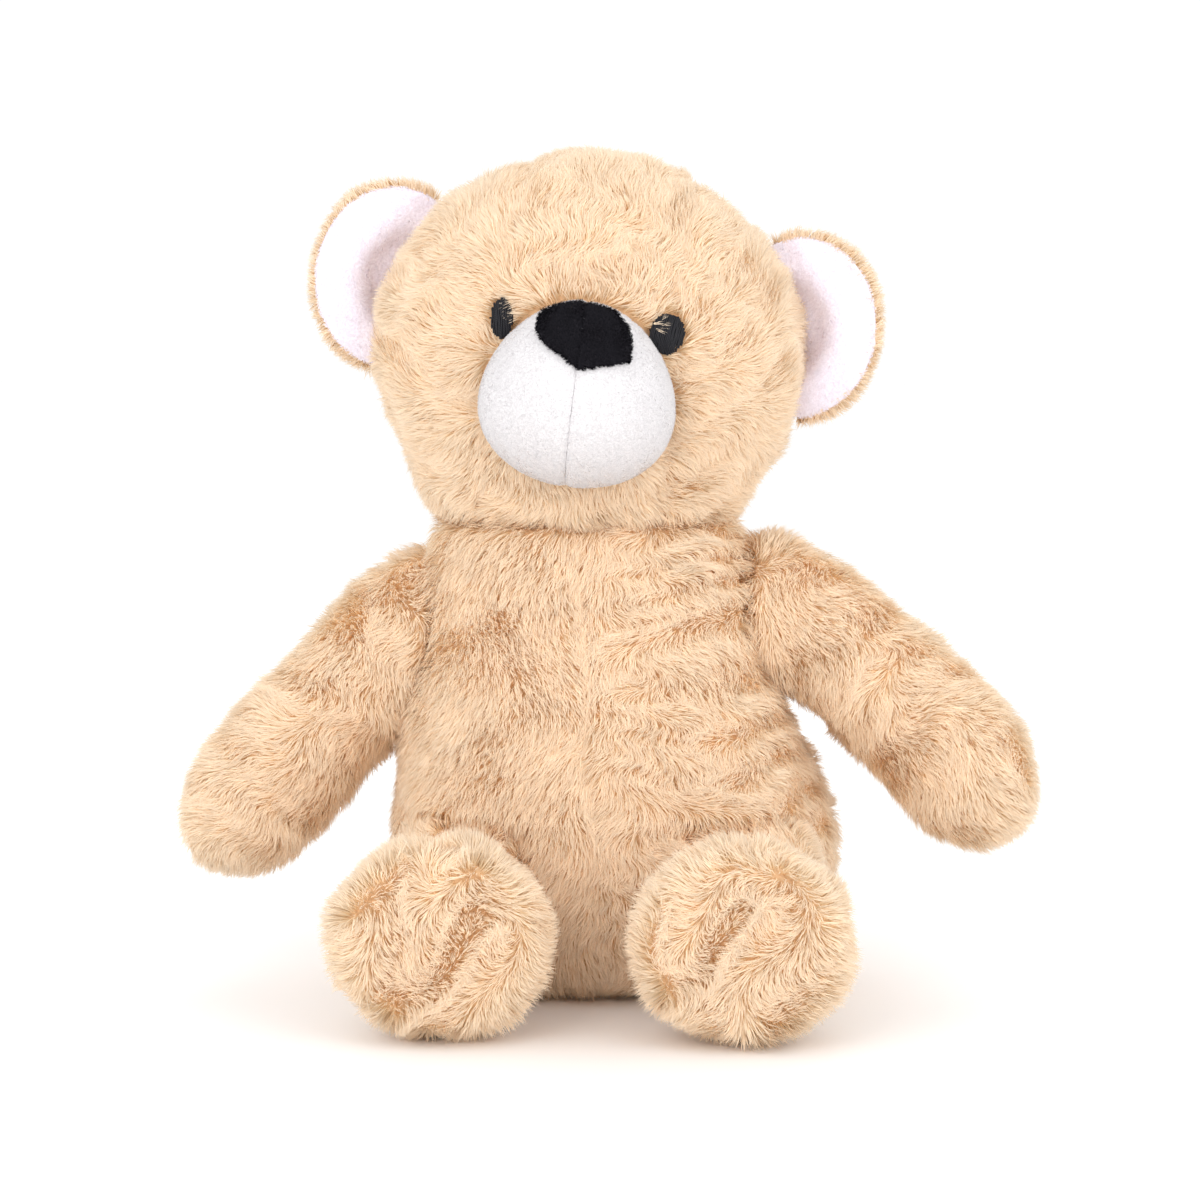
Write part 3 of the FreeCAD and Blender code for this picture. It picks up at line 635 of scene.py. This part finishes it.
# %% Materials of the pile and its backing
def pile_material(name, roughness, shine=0.25):
    """Fibres catch the light on both sides: the side seen from behind glows through with the same colour."""
    material = bpy.data.materials.new(name)
    material.use_nodes = True
    nodes = material.node_tree.nodes
    shader = nodes["Principled BSDF"]
    links = material.node_tree.links
    tint = nodes.new("ShaderNodeAttribute")
    tint.attribute_name = "pile_tint"
    links.new(tint.outputs["Color"], shader.inputs["Base Color"])
    shader.inputs["Roughness"].default_value = roughness
    shader.inputs["Specular IOR Level"].default_value = shine
    through = nodes.new("ShaderNodeBsdfTranslucent")
    links.new(tint.outputs["Color"], through.inputs["Color"])
    sides = nodes.new("ShaderNodeNewGeometry")
    either = nodes.new("ShaderNodeMixShader")
    links.new(sides.outputs["Backfacing"], either.inputs["Fac"])
    links.new(shader.outputs["BSDF"], either.inputs[1])
    links.new(through.outputs["BSDF"], either.inputs[2])
    links.new(either.outputs["Shader"], nodes["Material Output"].inputs["Surface"])
    return material


def effect_group(name, inputs):
    """A shader node group with these inputs, which gives a colour and a normal."""
    group = bpy.data.node_groups.new(name, "ShaderNodeTree")
    for label, kind in inputs:
        group.interface.new_socket(label, in_out="INPUT", socket_type=kind)
    group.interface.new_socket("Color", in_out="OUTPUT", socket_type="NodeSocketColor")
    group.interface.new_socket("Normal", in_out="OUTPUT", socket_type="NodeSocketVector")
    return group, group.nodes.new("NodeGroupInput"), group.nodes.new("NodeGroupOutput")


def finish_group(group, values, given, result, strength):
    """Mix the dark and the light colour by a value, and raise a bump from the same value."""
    mix = group.nodes.new("ShaderNodeMix")
    mix.data_type = "RGBA"
    bump = group.nodes.new("ShaderNodeBump")
    bump.inputs["Strength"].default_value = strength
    group.links.new(values, mix.inputs["Factor"])
    group.links.new(given.outputs["Dark"], mix.inputs["A"])
    group.links.new(given.outputs["Light"], mix.inputs["B"])
    group.links.new(values, bump.inputs["Height"])
    group.links.new(given.outputs["Relief"], bump.inputs["Distance"])
    group.links.new(mix.outputs["Result"], result.inputs["Color"])
    group.links.new(bump.outputs["Normal"], result.inputs["Normal"])
    return group


SOCKETS = [("Dark", "NodeSocketColor"), ("Light", "NodeSocketColor"), ("Scale", "NodeSocketFloat"),
           ("Relief", "NodeSocketFloat")]


def mottle_group():
    """Fine soft mottling, for a knitted or felted cloth and for moulded plastic."""
    group, given, result = effect_group("mottled_surface", SOCKETS)
    place = group.nodes.new("ShaderNodeTexCoord")
    noise = group.nodes.new("ShaderNodeTexNoise")
    noise.inputs["Detail"].default_value = 3.0
    sharpen = group.nodes.new("ShaderNodeMapRange")
    sharpen.inputs["From Min"].default_value = 0.35
    sharpen.inputs["From Max"].default_value = 0.65
    group.links.new(place.outputs["Object"], noise.inputs["Vector"])
    group.links.new(given.outputs["Scale"], noise.inputs["Scale"])
    group.links.new(noise.outputs["Fac"], sharpen.inputs["Value"])
    return finish_group(group, sharpen.outputs["Result"], given, result, 0.4)


def twist_group():
    """Fine slanting bands, as on a twisted thread."""
    group, given, result = effect_group("twisted_thread", SOCKETS)
    place = group.nodes.new("ShaderNodeTexCoord")
    twist = group.nodes.new("ShaderNodeTexWave")
    twist.bands_direction = "DIAGONAL"
    twist.inputs["Distortion"].default_value = 3.0
    group.links.new(place.outputs["Object"], twist.inputs["Vector"])
    group.links.new(given.outputs["Scale"], twist.inputs["Scale"])
    return finish_group(group, twist.outputs["Fac"], given, result, 0.5)


MOTTLE = mottle_group()
TWIST = twist_group()


def grouped_material(name, group, dark, light, scale, relief, roughness, shine):
    """A material whose colour and surface come from one of the groups, with values of its own."""
    material = bpy.data.materials.new(name)
    material.use_nodes = True
    shader = material.node_tree.nodes["Principled BSDF"]
    effect = material.node_tree.nodes.new("ShaderNodeGroup")
    effect.node_tree = group
    effect.inputs["Dark"].default_value = (*dark, 1.0)
    effect.inputs["Light"].default_value = (*light, 1.0)
    effect.inputs["Scale"].default_value = scale
    effect.inputs["Relief"].default_value = relief
    material.node_tree.links.new(effect.outputs["Color"], shader.inputs["Base Color"])
    material.node_tree.links.new(effect.outputs["Normal"], shader.inputs["Normal"])
    shader.inputs["Roughness"].default_value = roughness
    shader.inputs["Specular IOR Level"].default_value = shine
    return material


def cloth_material(name, dark, light, size):
    return grouped_material(name, MOTTLE, dark, light, 1 / size, 0.1 * MM, 0.9, 0.1)


def thread_material(name, dark, light, roughness):
    return grouped_material(name, TWIST, dark, light, 900.0, 0.05 * MM, roughness, 0.3)


PILE = pile_material("combed_plush_pile", 0.62)
# The backing is darker than the pile. This is partly its own colour and partly painted shade where it shows
# between the fibres.
BACKING = cloth_material("caramel_backing", (0.56, 0.34, 0.19), (0.70, 0.45, 0.26), 1.5 * MM)

# %% Plant the pile of every bag
FIBRE_LENGTH = 7.2 * MM
FIBRE_WIDTH = 0.30 * MM
PER_MM2 = 3.05
TUFT = 2.4
COVERED_BY = {"head": ["muzzle_left", "muzzle_right", "muzzle_stuffing", "ear_back_left", "ear_back_right",
                       "ear_lining_left", "ear_lining_right"]}
COVER_REACH = 6.5 * MM
EYE_SHARE = 1.0
EYE_SHAPES = {"eye_left": (1.0, 1.0 * MM, 0.0), "eye_right": (0.62, 0.8 * MM, 1.4 * MM)}
RIM_LIFT = 0.35


def eye_oval(node):
    """The middle and the half sizes of an embroidered eye; long pile hides one side of the right eye."""
    low, high = (np.array(corner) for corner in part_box(node))
    share, shift, drop = EYE_SHAPES[node]
    half = (high - low) / 2
    return (low + high) / 2 - ACROSS * shift - HEAD_UP * drop, half[0] * share, half[2]


def under_eyes(points):
    """Where the pile is cut away under the embroidered eyes; the hairs round the rim may lie over them."""
    covered = np.zeros(len(points), bool)
    for node in EYE_SHAPES:
        middle, half_wide, half_tall = eye_oval(node)
        across = (points - middle) @ ACROSS / (half_wide * EYE_SHARE)
        up = (points - middle) @ HEAD_UP / (half_tall * EYE_SHARE)
        covered |= (across ** 2 + up ** 2 < 1) & ((points - MUZZLE) @ FACE_OUT > -60 * MM)
    return covered


def grow_pile(body):
    """Plant one bag, thin the pile where it is covered or pressed at a joint, and make a piece per panel."""
    bag, tree, owners, others = bags[body]
    bag.data.materials.clear()
    bag.data.materials.append(BACKING)
    draw = np.random.default_rng(sum(map(ord, body)))
    roots, normals = plant(bag, PER_MM2, draw)
    room = room_beyond(roots, normals, others, 0.5 * MM, JOINT_ROOM)
    kept = (room > 0.8 * MM) | (draw.random(len(roots)) < 0.1)
    if body in COVERED_BY:
        cover, _ = panel_tree(COVERED_BY[body])
        beneath = room_beyond(roots, normals, cover, 1.0 * MM, COVER_REACH) < COVER_REACH * 0.99
        kept &= ~beneath & ~under_eyes(roots)
    roots, normals, room = roots[kept], normals[kept], room[kept]
    lengths = FIBRE_LENGTH * np.clip(room / (5.0 * MM), 0.85, 1.0) * (1 + 0.10 * waves(roots, 9 * MM, 7))
    owner = owner_of(tree, owners, roots)
    bend, tip, shade = make_fibres(roots, normals, COMBS[body], lengths, TUFT, 0.5, draw,
                                   raised=RIM_LIFT * (1 - np.clip(room / JOINT_ROOM, 0, 1)))
    for index, node in enumerate(PANELS[body]):
        mine = owner == index
        pile = blades("pile_" + node, roots[mine], normals[mine], bend[mine], tip[mine], shade[mine],
                      FIBRE_WIDTH, PLUSH_TINTS, draw)
        pile.data.materials.append(PILE)
        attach(pile, body)
        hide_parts(node)
        print(node, mine.sum(), "fibres")


for body in PANELS:
    grow_pile(body)

# %% [markdown]
# ## Short pile
#
# Velour and the black nose cloth are plush too, only much shorter. The same fibres do for them, planted
# closer and cut to a millimetre or two, so the edges of the muzzle and the nose look soft and not moulded.

# %% Short pile on any cloth
def short_pile(cloth, name, body, per_mm2, length, width, lift, tints, comb_way, material, seed, where=None):
    """Dense short fibres on a cloth form, combed one way but wandering, kept only where where() says so."""
    draw = np.random.default_rng(seed)
    roots, normals = plant(cloth, per_mm2, draw)
    if where is not None:
        kept = where(roots, normals)
        roots, normals = roots[kept], normals[kept]
    wander = 2.5 * waves(roots, 6 * MM, seed + 1)

    def comb(points, surface):
        way = along_surface(np.tile(comb_way, (len(points), 1)), surface)
        turn = wander if len(points) == len(roots) else 2.5 * waves(points, 6 * MM, seed + 1)
        return turned(way, surface, turn * 0.5), np.full(len(points), lift)

    bend, tip, shade = make_fibres(roots, normals, comb, np.full(len(roots), length), 2.4, 0.35, draw)
    pile = blades(name, roots, normals, bend, tip, shade * 0.6, width, tints, draw)
    pile.data.materials.append(material)
    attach(pile, body)
    return pile


# %% [markdown]
# ## The muzzle
#
# The muzzle is an egg of white velour in two halves, stuffed hard and sewn to the face. It is copied from
# the frame, remeshed finely and blown up a little; then the seam is pressed in down the middle and the
# egg is cut in two along it. Small stitches lie across the seam.

# %% Stuff the muzzle and cut it in halves
WHITE_VELOUR = cloth_material("white_velour", (0.66, 0.64, 0.65), (0.78, 0.76, 0.77), 0.5 * MM)
VELOUR_NAP = pile_material("velour_nap", 0.8)


def fine_copy(name, nodes, voxel, rounds):
    """A small cloth form, fused from parts of the frame with a fine remesh and smoothed."""
    cloth = copy_of_nodes(name, nodes)
    remesh = cloth.modifiers.new("weld", "REMESH")
    remesh.mode = "VOXEL"
    remesh.voxel_size = voxel
    smooth = cloth.modifiers.new("ease", "SMOOTH")
    smooth.factor = 0.5
    smooth.iterations = rounds
    apply_all(cloth)
    keep_largest(cloth)
    return cloth


FINE_VOXEL = 1.8 * MM
MUZZLE_TAPER = 5.2
MUZZLE_REACH = 0.8 * MM
SEAM_PRESS = 0.7 * MM
SEAM_HALF = 1.1 * MM
NAP_INSET = 0.2 * MM
CUT_GAP = 0.05 * MM

egg = fine_copy("muzzle_egg", ["muzzle_left", "muzzle_right", "muzzle_stuffing"], FINE_VOXEL, 3)
stuff(egg, MUZZLE_REACH)
finer = egg.modifiers.new("finer", "SUBSURF")
finer.levels = finer.render_levels = 1
apply_all(egg)
egg_places = vertices_of(egg.data)
from_seam = (egg_places - MUZZLE) @ ACROSS
rise = (egg_places - MUZZLE) @ HEAD_UP
narrow = from_seam * -MUZZLE_TAPER * rise
egg_places += narrow[:, None] * ACROSS
press = SEAM_PRESS * np.exp(-(from_seam / SEAM_HALF) ** 2) + NAP_INSET
move_vertices(egg.data, egg_places - normals_of(egg.data) * press[:, None])


def half_of(whole, name, side):
    """Cut a closed cloth form at the middle of the face and close the cut."""
    half = whole.copy()
    half.data = whole.data.copy()
    half.name = name
    bpy.context.scene.collection.objects.link(half)
    only(half)
    bpy.ops.object.mode_set(mode="EDIT")
    bpy.ops.mesh.select_all(action="SELECT")
    bpy.ops.mesh.bisect(plane_co=tuple(MUZZLE + ACROSS * side * CUT_GAP), plane_no=tuple(ACROSS * -side),
                        use_fill=True, clear_outer=True)
    bpy.ops.object.mode_set(mode="OBJECT")
    half.data.materials.clear()
    half.data.shade_smooth()
    return half


for side_name, side in (("left", 1), ("right", -1)):
    half = half_of(egg, "muzzle_velour_" + side_name, side)
    half.data.materials.append(WHITE_VELOUR)
    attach(half, "head")
    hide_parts("muzzle_" + side_name, "muzzle_stuffing")
    print(half.name, len(half.data.polygons), "faces")

egg_tree = BVHTree.FromObject(egg, bpy.context.evaluated_depsgraph_get())
head_tree = bags["head"][1]


def outside_face(points, normals):
    return (points - MUZZLE) @ FACE_OUT > -26 * MM


nap = short_pile(egg, "muzzle_nap", "head", 4.2, 0.55 * MM, 0.17 * MM, 0.7, VELOUR_TINTS, [0.3, 0, -1.0],
                 VELOUR_NAP, 51, outside_face)

# %% Sew the stitches of the muzzle seam
THREAD = thread_material("seam_thread", (0.45, 0.43, 0.45), (0.66, 0.64, 0.66), 0.6)
STITCH_PITCH = 2.75 * MM
STITCH_CROWN = 0.08 * MM


def laid_thread(name, lines, thick, material, body):
    """Short threads as round curves, made into one mesh."""
    curve = bpy.data.curves.new(name, "CURVE")
    curve.dimensions = "3D"
    curve.bevel_depth = thick / 2
    curve.bevel_resolution = 1
    curve.use_fill_caps = True
    for line in lines:
        spline = curve.splines.new("POLY")
        spline.points.add(len(line) - 1)
        for point, place in zip(spline.points, line):
            point.co = (*place, 1.0)
    thing = bpy.data.objects.new(name, curve)
    bpy.context.scene.collection.objects.link(thing)
    only(thing)
    bpy.ops.object.convert(target="MESH")
    thing = bpy.context.object
    thing.data.materials.clear()
    thing.data.materials.append(material)
    thing.data.shade_smooth()
    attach(thing, body)
    return thing


def on_egg(across, up):
    """A point on the front of the muzzle, found by looking back at the face from in front."""
    start = MUZZLE + FACE_OUT * 60 * MM + ACROSS * across + HEAD_UP * up
    hit = egg_tree.ray_cast(Vector(start), Vector(-FACE_OUT))
    return np.array(hit[0]), np.array(hit[1])


def seam_stitches(top, bottom, lean, reach, sink):
    lines = []
    for index, up in enumerate(np.arange(top, bottom, -STITCH_PITCH)):
        middle, normal = on_egg(lean * (-1) ** index, up)
        side = unit(np.cross(normal, HEAD_UP))
        tilt = unit(side + HEAD_UP * 0.9 * (-1) ** index)
        lines.append([middle - tilt * reach - normal * sink, middle + normal * STITCH_CROWN,
                      middle + tilt * reach - normal * sink])
    return lines


seam_lines = seam_stitches(3 * MM, -27 * MM, 0.35 * MM, 0.55 * MM, 0.35 * MM)
stitches = laid_thread("muzzle_stitches", seam_lines, 0.28 * MM, THREAD, "head")

# %% [markdown]
# ## The nose
#
# A padded pointed patch of black plush in two halves, with a short nap that hangs over its top edge, which
# is what makes that edge look torn. A few pale stitches show in its middle seam.

# %% Pad the nose
NOSE_CLOTH = cloth_material("black_nose_cloth", (0.008, 0.007, 0.010), (0.022, 0.020, 0.025), 0.6 * MM)
NOSE_NAP = pile_material("nose_nap", 0.9, 0.06)
# The outline as millimetres across and up from the middle of the muzzle.
NOSE_OUTLINE = [(-13.0, 21.5), (-11.2, 24.7), (-7.5, 26.7), (-2.3, 27.7), (3.6, 27.3), (8.9, 25.1),
                (12.7, 21.3), (14.4, 17.4), (14.4, 12.4), (0.5, 8.8), (-5.0, 12.2), (-10.0, 14.4),
                (-12.8, 17.6)]
NOSE_RISE = 1.3 * MM


def inside_outline(across, up, outline):
    """Whether points of the face lie inside a closed outline, both in metres."""
    inside = np.zeros(len(across), bool)
    for (x0, z0), (x1, z1) in zip(outline, outline[1:] + outline[:1]):
        crosses = (z0 > up) != (z1 > up)
        reach = x0 + (up - z0) / (z1 - z0 if z1 != z0 else 1e-9) * (x1 - x0)
        inside ^= crosses & (across < reach)
    return inside


def nose_patch():
    """The part of the muzzle's own skin inside the nose's outline, lifted off it and given a thickness."""
    patch = egg.copy()
    patch.data = egg.data.copy()
    patch.name = "nose_patch"
    bpy.context.scene.collection.objects.link(patch)
    work = bmesh.new()
    work.from_mesh(patch.data)
    middles = np.array([face.calc_center_median() for face in work.faces]) - MUZZLE
    outline = [(x * MM, z * MM) for x, z in NOSE_OUTLINE]
    inside = inside_outline(middles @ ACROSS, middles @ HEAD_UP, outline) & (middles @ FACE_OUT > 0)
    outside = [face for face, stays in zip(work.faces, inside) if not stays]
    bmesh.ops.delete(work, geom=outside, context="FACES")
    work.to_mesh(patch.data)
    work.free()
    move_vertices(patch.data, vertices_of(patch.data) + normals_of(patch.data) * 0.3 * MM)
    wall = patch.modifiers.new("padding", "SOLIDIFY")
    wall.thickness = NOSE_RISE
    wall.offset = 1.0
    apply_all(patch)
    return patch


nose = nose_patch()
for side_name, side in (("left", 1), ("right", -1)):
    half = half_of(nose, "nose_plush_" + side_name, side)
    half.data.materials.append(NOSE_CLOTH)
    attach(half, "head")
    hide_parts("nose_" + side_name)
nap = short_pile(nose, "nose_nap", "head", 10.0, 1.3 * MM, 0.20 * MM, 0.6, NOSE_TINTS, HEAD_UP, NOSE_NAP, 61)
nose_stitches = laid_thread("nose_stitches", seam_stitches(22 * MM, 12 * MM, 0.0, 0.45 * MM, -1.7 * MM),
                            0.22 * MM, THREAD, "head")
bpy.data.objects.remove(nose)
bpy.data.objects.remove(egg)
print("nose padded and covered")

# %% [markdown]
# ## The eyes
#
# The eyes are embroidered: rows of glossy black thread laid side by side over a small oval of padding.
# The threads are rows of short curves that lie on the face and bulge a little in the middle.

# %% Embroider the eyes
EYE_THREAD = thread_material("eye_thread", (0.003, 0.003, 0.005), (0.016, 0.016, 0.021), 0.5)


THREAD_STEP = 0.52 * MM
THREAD_THICK = 0.62 * MM
THREAD_WANDER = 0.10 * MM
THREAD_LAYERS = 2
LAYER_DROP = 0.3 * MM
EYE_CROWN = 0.9 * MM
EYE_SINK = 1.0 * MM


def embroider(node, lean, seed):
    """Two layers of parallel threads over the eye's oval, crowned in the middle and sunk at the rim."""
    draw = np.random.default_rng(seed)
    middle, half_wide, half_tall = eye_oval(node)
    row_way = unit(HEAD_UP * math.cos(lean) + ACROSS * math.sin(lean))
    step_way = unit(np.cross(row_way, FACE_OUT))
    lines = []
    for layer in range(THREAD_LAYERS):
        for place in np.arange(-half_wide, half_wide, THREAD_STEP):
            share = math.sqrt(max(0.0, 1 - (place / half_wide) ** 2))
            reach = half_tall * share * draw.uniform(0.9, 1.04)
            line = []
            for along in np.linspace(-1, 1, 7):
                point = middle + step_way * (place + draw.normal(0, THREAD_WANDER)) + row_way * along * reach
                start = point + FACE_OUT * 30 * MM
                hit = head_tree.ray_cast(Vector(start), Vector(-FACE_OUT))
                crown = EYE_CROWN * (1 - (along * share) ** 2 * 0.9 - (place / half_wide) ** 2 * 0.8)
                line.append(np.array(hit[0]) + FACE_OUT * (crown - EYE_SINK - layer * LAYER_DROP))
            lines.append(line)
    thread = laid_thread(node + "_stitching", lines, THREAD_THICK, EYE_THREAD, "head")
    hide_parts(node)
    print(thread.name, len(lines), "threads")


embroider("eye_left", 0.15, 71)
embroider("eye_right", -0.10, 72)

# %% [markdown]
# ## The ears
#
# Each ear is a plush cup lined with lilac velour. The cup is a fine remesh of the frame's ear with pile
# planted on its back and rim. The lining is a flat cushion that fills the rim, tucked into a bowl beside
# the head, with shallow folds and a nap of short fibres.

# %% Line the ears and plant their pile
LILAC_VELOUR = cloth_material("lilac_velour", (0.80, 0.74, 0.82), (0.90, 0.86, 0.94), 0.8 * MM)
EAR_LENGTH = 6.0 * MM
EAR_TURN = math.radians(16.0)
EAR_HALF_WIDE = 26.3 * MM
EAR_RIM_SET = 3.8 * MM
LINING_HALF = (25.0 * MM, 6.0 * MM, 28.6 * MM)
LINING_SET = 1.6 * MM
BOWL_DEPTH = 8.0 * MM
BOWL_AT = (-6 * MM, -1 * MM)
BOWL_HALF = (15 * MM, 14.5 * MM)
BOWL_WALL = 0.14
FOLD_HEIGHT = 0.9 * MM
CUP_INSET = 2.6 * MM
CUP_BELOW = 2 * MM


class Ear:
    """One ear and its own frame: across it and away from the head, out of its front, and up."""

    def __init__(self, side_name, side):
        self.side_name = side_name
        self.side = side
        self.back = "ear_back_" + side_name
        self.lining = "ear_lining_" + side_name
        low, high = (np.array(corner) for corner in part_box(self.back))
        outer = high[0] if side > 0 else low[0]
        self.middle = np.array([outer - side * EAR_HALF_WIDE, (low[1] + high[1]) / 2 - EAR_RIM_SET,
                                (low[2] + high[2]) / 2])
        self.across = ACROSS * math.cos(EAR_TURN) + FACE_OUT * side * math.sin(EAR_TURN)
        self.front = FACE_OUT * math.cos(EAR_TURN) - ACROSS * side * math.sin(EAR_TURN)

    def own(self, points):
        away = points - self.middle
        return away @ self.across * self.side, away @ self.front, away @ HEAD_UP

    def world(self, across, front, up):
        return self.middle + np.outer(across * self.side, self.across) + np.outer(front, self.front) \
            + np.outer(up, HEAD_UP)


def bowl(across, up):
    """How far the ear is tucked in: a bowl beside the head with a steep wall and a puffed band round it."""
    sideways = (across - BOWL_AT[0]) / BOWL_HALF[0]
    upwards = (up - BOWL_AT[1]) / BOWL_HALF[1]
    return BOWL_DEPTH / (1 + np.exp((np.sqrt(sideways ** 2 + upwards ** 2) - 1) / BOWL_WALL))


def cup_of(ear):
    """The ear's stuffed backing, taken in by the height of its pile."""
    cup = fine_copy("ear_cup_" + ear.side_name, [ear.back, ear.lining], FINE_VOXEL, 3)
    places, normals = vertices_of(cup.data), normals_of(cup.data)
    across, front, up = ear.own(places)
    inner = (across / LINING_HALF[0]) ** 2 + (up / LINING_HALF[2]) ** 2 < 0.85
    tucked = np.clip(normals @ ear.front * 2, 0, 1) * inner * (bowl(across, up) + CUP_BELOW)
    move_vertices(cup.data, places - normals * CUP_INSET - tucked[:, None] * ear.front)
    cup.data.materials.clear()
    cup.data.materials.append(BACKING)
    cup.data.shade_smooth()
    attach(cup, "head")
    return cup


def pile_of(ear, cup):
    """Pile on the back and the rim of the cup, combed outwards, and none under the lining or the head."""
    draw = np.random.default_rng(80 + ear.side)
    roots, normals = plant(cup, PER_MM2 * 1.2, draw)
    across, front, up = ear.own(roots)
    to_head = room_beyond(roots, normals, bags["head"][1], 0.5 * MM, 6 * MM)
    kept = (front < 4.0 * MM) & (to_head > 5.9 * MM)
    in_front = normals @ ear.front > 0.75
    inner = (across / LINING_HALF[0]) ** 2 + (up / LINING_HALF[2]) ** 2 < 0.8
    kept &= ~(in_front & inner)
    roots, normals = roots[kept], normals[kept]

    def comb(points, surface):
        way = unit(points - (ear.middle - ear.across * ear.side * 8 * MM)) - 0.25 * ear.front
        way = along_surface(way, surface)
        return turned(way, surface, 0.5 * waves(points, 12 * MM, 81)), 0.55 + 0.1 * waves(points, 10 * MM, 82)

    bend, tip, shade = make_fibres(roots, normals, comb, np.full(len(roots), EAR_LENGTH), TUFT, 0.6, draw)
    pile = blades("pile_" + ear.back, roots, normals, bend, tip, shade, FIBRE_WIDTH, PLUSH_TINTS, draw)
    pile.data.materials.append(PILE)
    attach(pile, "head")
    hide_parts(ear.back)
    return pile


def lining_of(ear):
    """A flat velour cushion with a puffed edge, a pocket by the head and soft folds that run into it."""
    bpy.ops.object.select_all(action="DESELECT")
    bpy.ops.mesh.primitive_uv_sphere_add(segments=72, ring_count=48, radius=1.0)
    lining = bpy.context.object
    lining.name = "ear_velour_" + ear.side_name
    ball = vertices_of(lining.data)
    across, front, up = (ball[:, axis] * half for axis, half in zip((0, 1, 2), LINING_HALF))
    front = front + LINING_SET
    facing = np.clip(ball[:, 1] * 3, 0, 1)
    fold = np.sin(up / (3.4 * MM) + across / (4 * MM)) * np.exp(-((across + 6 * MM) / (8 * MM)) ** 2)
    front = front - facing * (bowl(across, up) - FOLD_HEIGHT * fold)
    move_vertices(lining.data, ear.world(across, front, up))
    only(lining)
    bpy.ops.object.mode_set(mode="EDIT")
    bpy.ops.mesh.select_all(action="SELECT")
    bpy.ops.mesh.normals_make_consistent(inside=False)
    bpy.ops.object.mode_set(mode="OBJECT")
    lining.data.materials.append(LILAC_VELOUR)
    lining.data.shade_smooth()
    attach(lining, "head")
    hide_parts(ear.lining)
    nap = short_pile(lining, "ear_nap_" + ear.side_name, "head", 4.0, 1.3 * MM, 0.24 * MM, 0.5, LINING_TINTS,
                     ear.across * ear.side - 0.4 * HEAD_UP, VELOUR_NAP, 90 + ear.side,
                     lambda points, normals: normals @ ear.front > -0.2)
    return lining


for side_name, side in (("left", 1), ("right", -1)):
    ear = Ear(side_name, side)
    cup = cup_of(ear)
    pile = pile_of(ear, cup)
    lining = lining_of(ear)
    print("ear", side_name, len(pile.data.polygons) // 3, "fibres")

# %% [markdown]
# ## The plastic joints
#
# The discs, stems and lock washers keep the frame's own shapes. They are moulded in natural nylon, a
# milky plastic with a faint sheen and slight flow marks, so they only need a material.

# %% Mould the plastic
NYLON = grouped_material("natural_nylon", MOTTLE, (0.70, 0.68, 0.60), (0.82, 0.80, 0.73), 160.0, 0.02 * MM,
                         0.42, 0.5)
for node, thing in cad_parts.items():
    if not thing.hide_render:
        thing.data.materials.clear()
        thing.data.materials.append(NYLON)
        print("nylon:", node)
